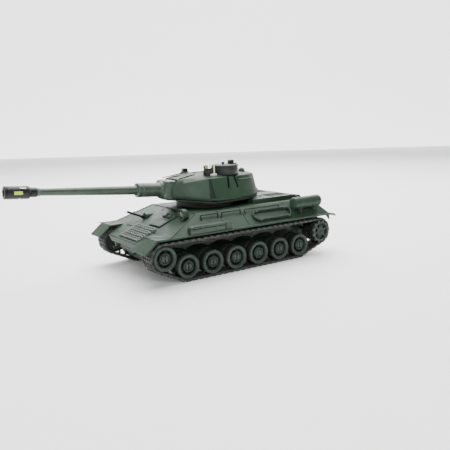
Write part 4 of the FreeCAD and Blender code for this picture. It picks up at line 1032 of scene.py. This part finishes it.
def rear_fittings():
    """The exhausts, and the trim, flaps and bolts along both fenders."""
    rear = box_mm("exhaust_pipes")[0].x
    form = Form()
    for y in (-16, 16):
        place = facing((rear, y, 50), Y, X)
        form.hoop([(0, 3.0), (9, 3.0), (9, 2.0), (6, 2.0), (5.9, 0.01), (5.6, 0.01), (5.6, 2.3), (0, 2.3)],
                   place, 32)
        form.hoop([(4.4, 2.6), (4.4, 3.5), (5.6, 3.5), (5.6, 2.6)], place, 32)
    form.piece("exhaust_pipes_skin", *HULL_DARK, 0.05, ["exhaust_pipes"])
    trim = Form()
    for sign in (1, -1):
        edge = sign*(FENDER_HALF - 0.35)
        for x in (-150, -120, -60, -30, 30):
            trim.bolt((x, sign*(FENDER_HALF - 1.3), FENDER_TOP), Z, 0.7, 0.4)
        for x in range(-156, 56, 6):
            trim.tube([(end, edge, FENDER_TOP - 0.05) for end in (x, x + 6)], 0.35, 8)
        trim.loft([[(x, sign*y, z) for x, z in ((-158, 42.4), (-152.6, 42.4), (-157.6, 36.6), (-158, 36.6))]
                   for y in (60.4, 61.6)])
        for x in (-140, -118, -62, -44):
            trim.bolt(on_side(sign, x, 2.2), side_out(sign), 0.75, 0.5)
    trim.piece("fender_trim", *ON_HULL, 0.05)


def arched_wall():
    """The tub wall over the wheels, with an arch above each one, in a paler green that paints light onto it."""
    arch_rad, arch_half, arch_z, top = 28.8, 14, -1.05, 42.2
    centres = [24 - 27.5*n for n in range(6)]
    form = Form()
    for sign in (1, -1):
        rings = []
        for step in range(-126*2, 41*2, 3):
            x = step/2
            away = min(abs(centre - x) for centre in centres)
            low = arch_z + sqrt(arch_rad**2 - min(away, arch_half)**2)
            rings.append([(x, sign*y, z) for y, z in
                          ((32.6, low), (33.05, low), (33.05, top), (32.6, top))])
        form.loft(rings)
    form.piece("tub_arched_wall", "hull", "hull_green", TUB_PAINTED_LIGHT, 0)


arched_wall()
for side, sign in BOTH:
    stowage_box(side, sign)
    drum(side, sign)
engine_deck()
side_fittings()
rear_fittings()
seam("hull_side_seams", "hull",
     [[on_side(sign, x, 0.4), on_side(sign, x, 22.6)] for sign in (1, -1)
      for x in (-20.5, -48, -104)], 0.26)

# ---- frame nodes that keep their own shape

for part in frame["record"]["subparts"]:
    node = frame["nodes"][part["node"]]
    if not node.hide_render:
        node.data.materials.clear()
        # The turret base gets the dark green as painted shade under the turret.
        paint = SHADED_GREEN if part["node"] == "turret_base" else MATERIALS[part["material_slot"]]
        node.data.materials.append(paint)
        dress(node, 0.3 if part["material_slot"] == "hull_green" else 0.12, weld=True)

# ---- camera, light and studio

EYE = Vector((268.6, 479.0, 142.8))*MM
AZIMUTH, HEIGHT, ROLL, LENS_MM = radians(55.53), radians(10.55), radians(-1.724), 43.12
back = Vector((cos(AZIMUTH)*cos(HEIGHT), sin(AZIMUTH)*cos(HEIGHT), sin(HEIGHT)))
level = Z.cross(back).normalized()
upright = back.cross(level)
across = cos(ROLL)*level + sin(ROLL)*upright
upward = -sin(ROLL)*level + cos(ROLL)*upright
camera = placed("camera", bpy.data.cameras.new("camera"))
camera.data.lens, camera.data.sensor_width = LENS_MM, 36
camera.data.clip_start = 0.01
camera.matrix_world = Matrix.Translation(EYE) @ Matrix((across, upward, back)).transposed().to_4x4()
bpy.context.scene.camera = camera

world = bpy.data.worlds.new("studio")
world.use_nodes = True
fed(world.node_tree.nodes["Background"], Color=(1, 1, 1, 1), Strength=0.26)
bpy.context.scene.world = world


def softbox(name, spot, aim, width, depth, power):
    """A soft area light aimed at a point."""
    lamp = bpy.data.lights.new(name, "AREA")
    lamp.shape, lamp.size, lamp.size_y, lamp.energy = "RECTANGLE", width, depth, power
    holder = placed(name, lamp)
    holder.location = spot
    holder.rotation_mode = "QUATERNION"
    holder.rotation_quaternion = (Vector(aim) - Vector(spot)).to_track_quat("-Z", "Y")
    holder.visible_camera = False


softbox("overhead", (-0.25, -0.35, 1.15), (0, 0, 0.05), 1.5, 1.5, 62)
softbox("behind", (-0.9, -1.0, 0.8), (0, 0, 0.06), 1.6, 0.6, 10)
softbox("camera_side", (0.9, 1.6, 1.1), (0, 0, 0.05), 0.7, 0.7, 24)


def staged(name, low, high, place, glow):
    """A pale slab that belongs to the studio; glow lights it from within."""
    form = Form()
    form.block(low, high, place)
    paint = surface(name + "_white", (0.90, 0.90, 0.90), 0.6, grain=0.01, mottling=0.01, edge_sheen=0.0)
    fed(paint.node_tree.nodes["Principled BSDF"], Emission_Color=(1, 1, 1, 1), Emission_Strength=glow)
    form.built(name, paint)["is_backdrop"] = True


staged("floor", (-6000, -6000, -4), (6000, 6000, -0.02), None, 0.1)
staged("backdrop", (-2400, -4000, -4), (-2300, 4000, 950), Matrix.Rotation(AZIMUTH, 4, "Z"), 2.2)

# ---- size of the finished visual

bpy.context.view_layer.update()
low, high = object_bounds()
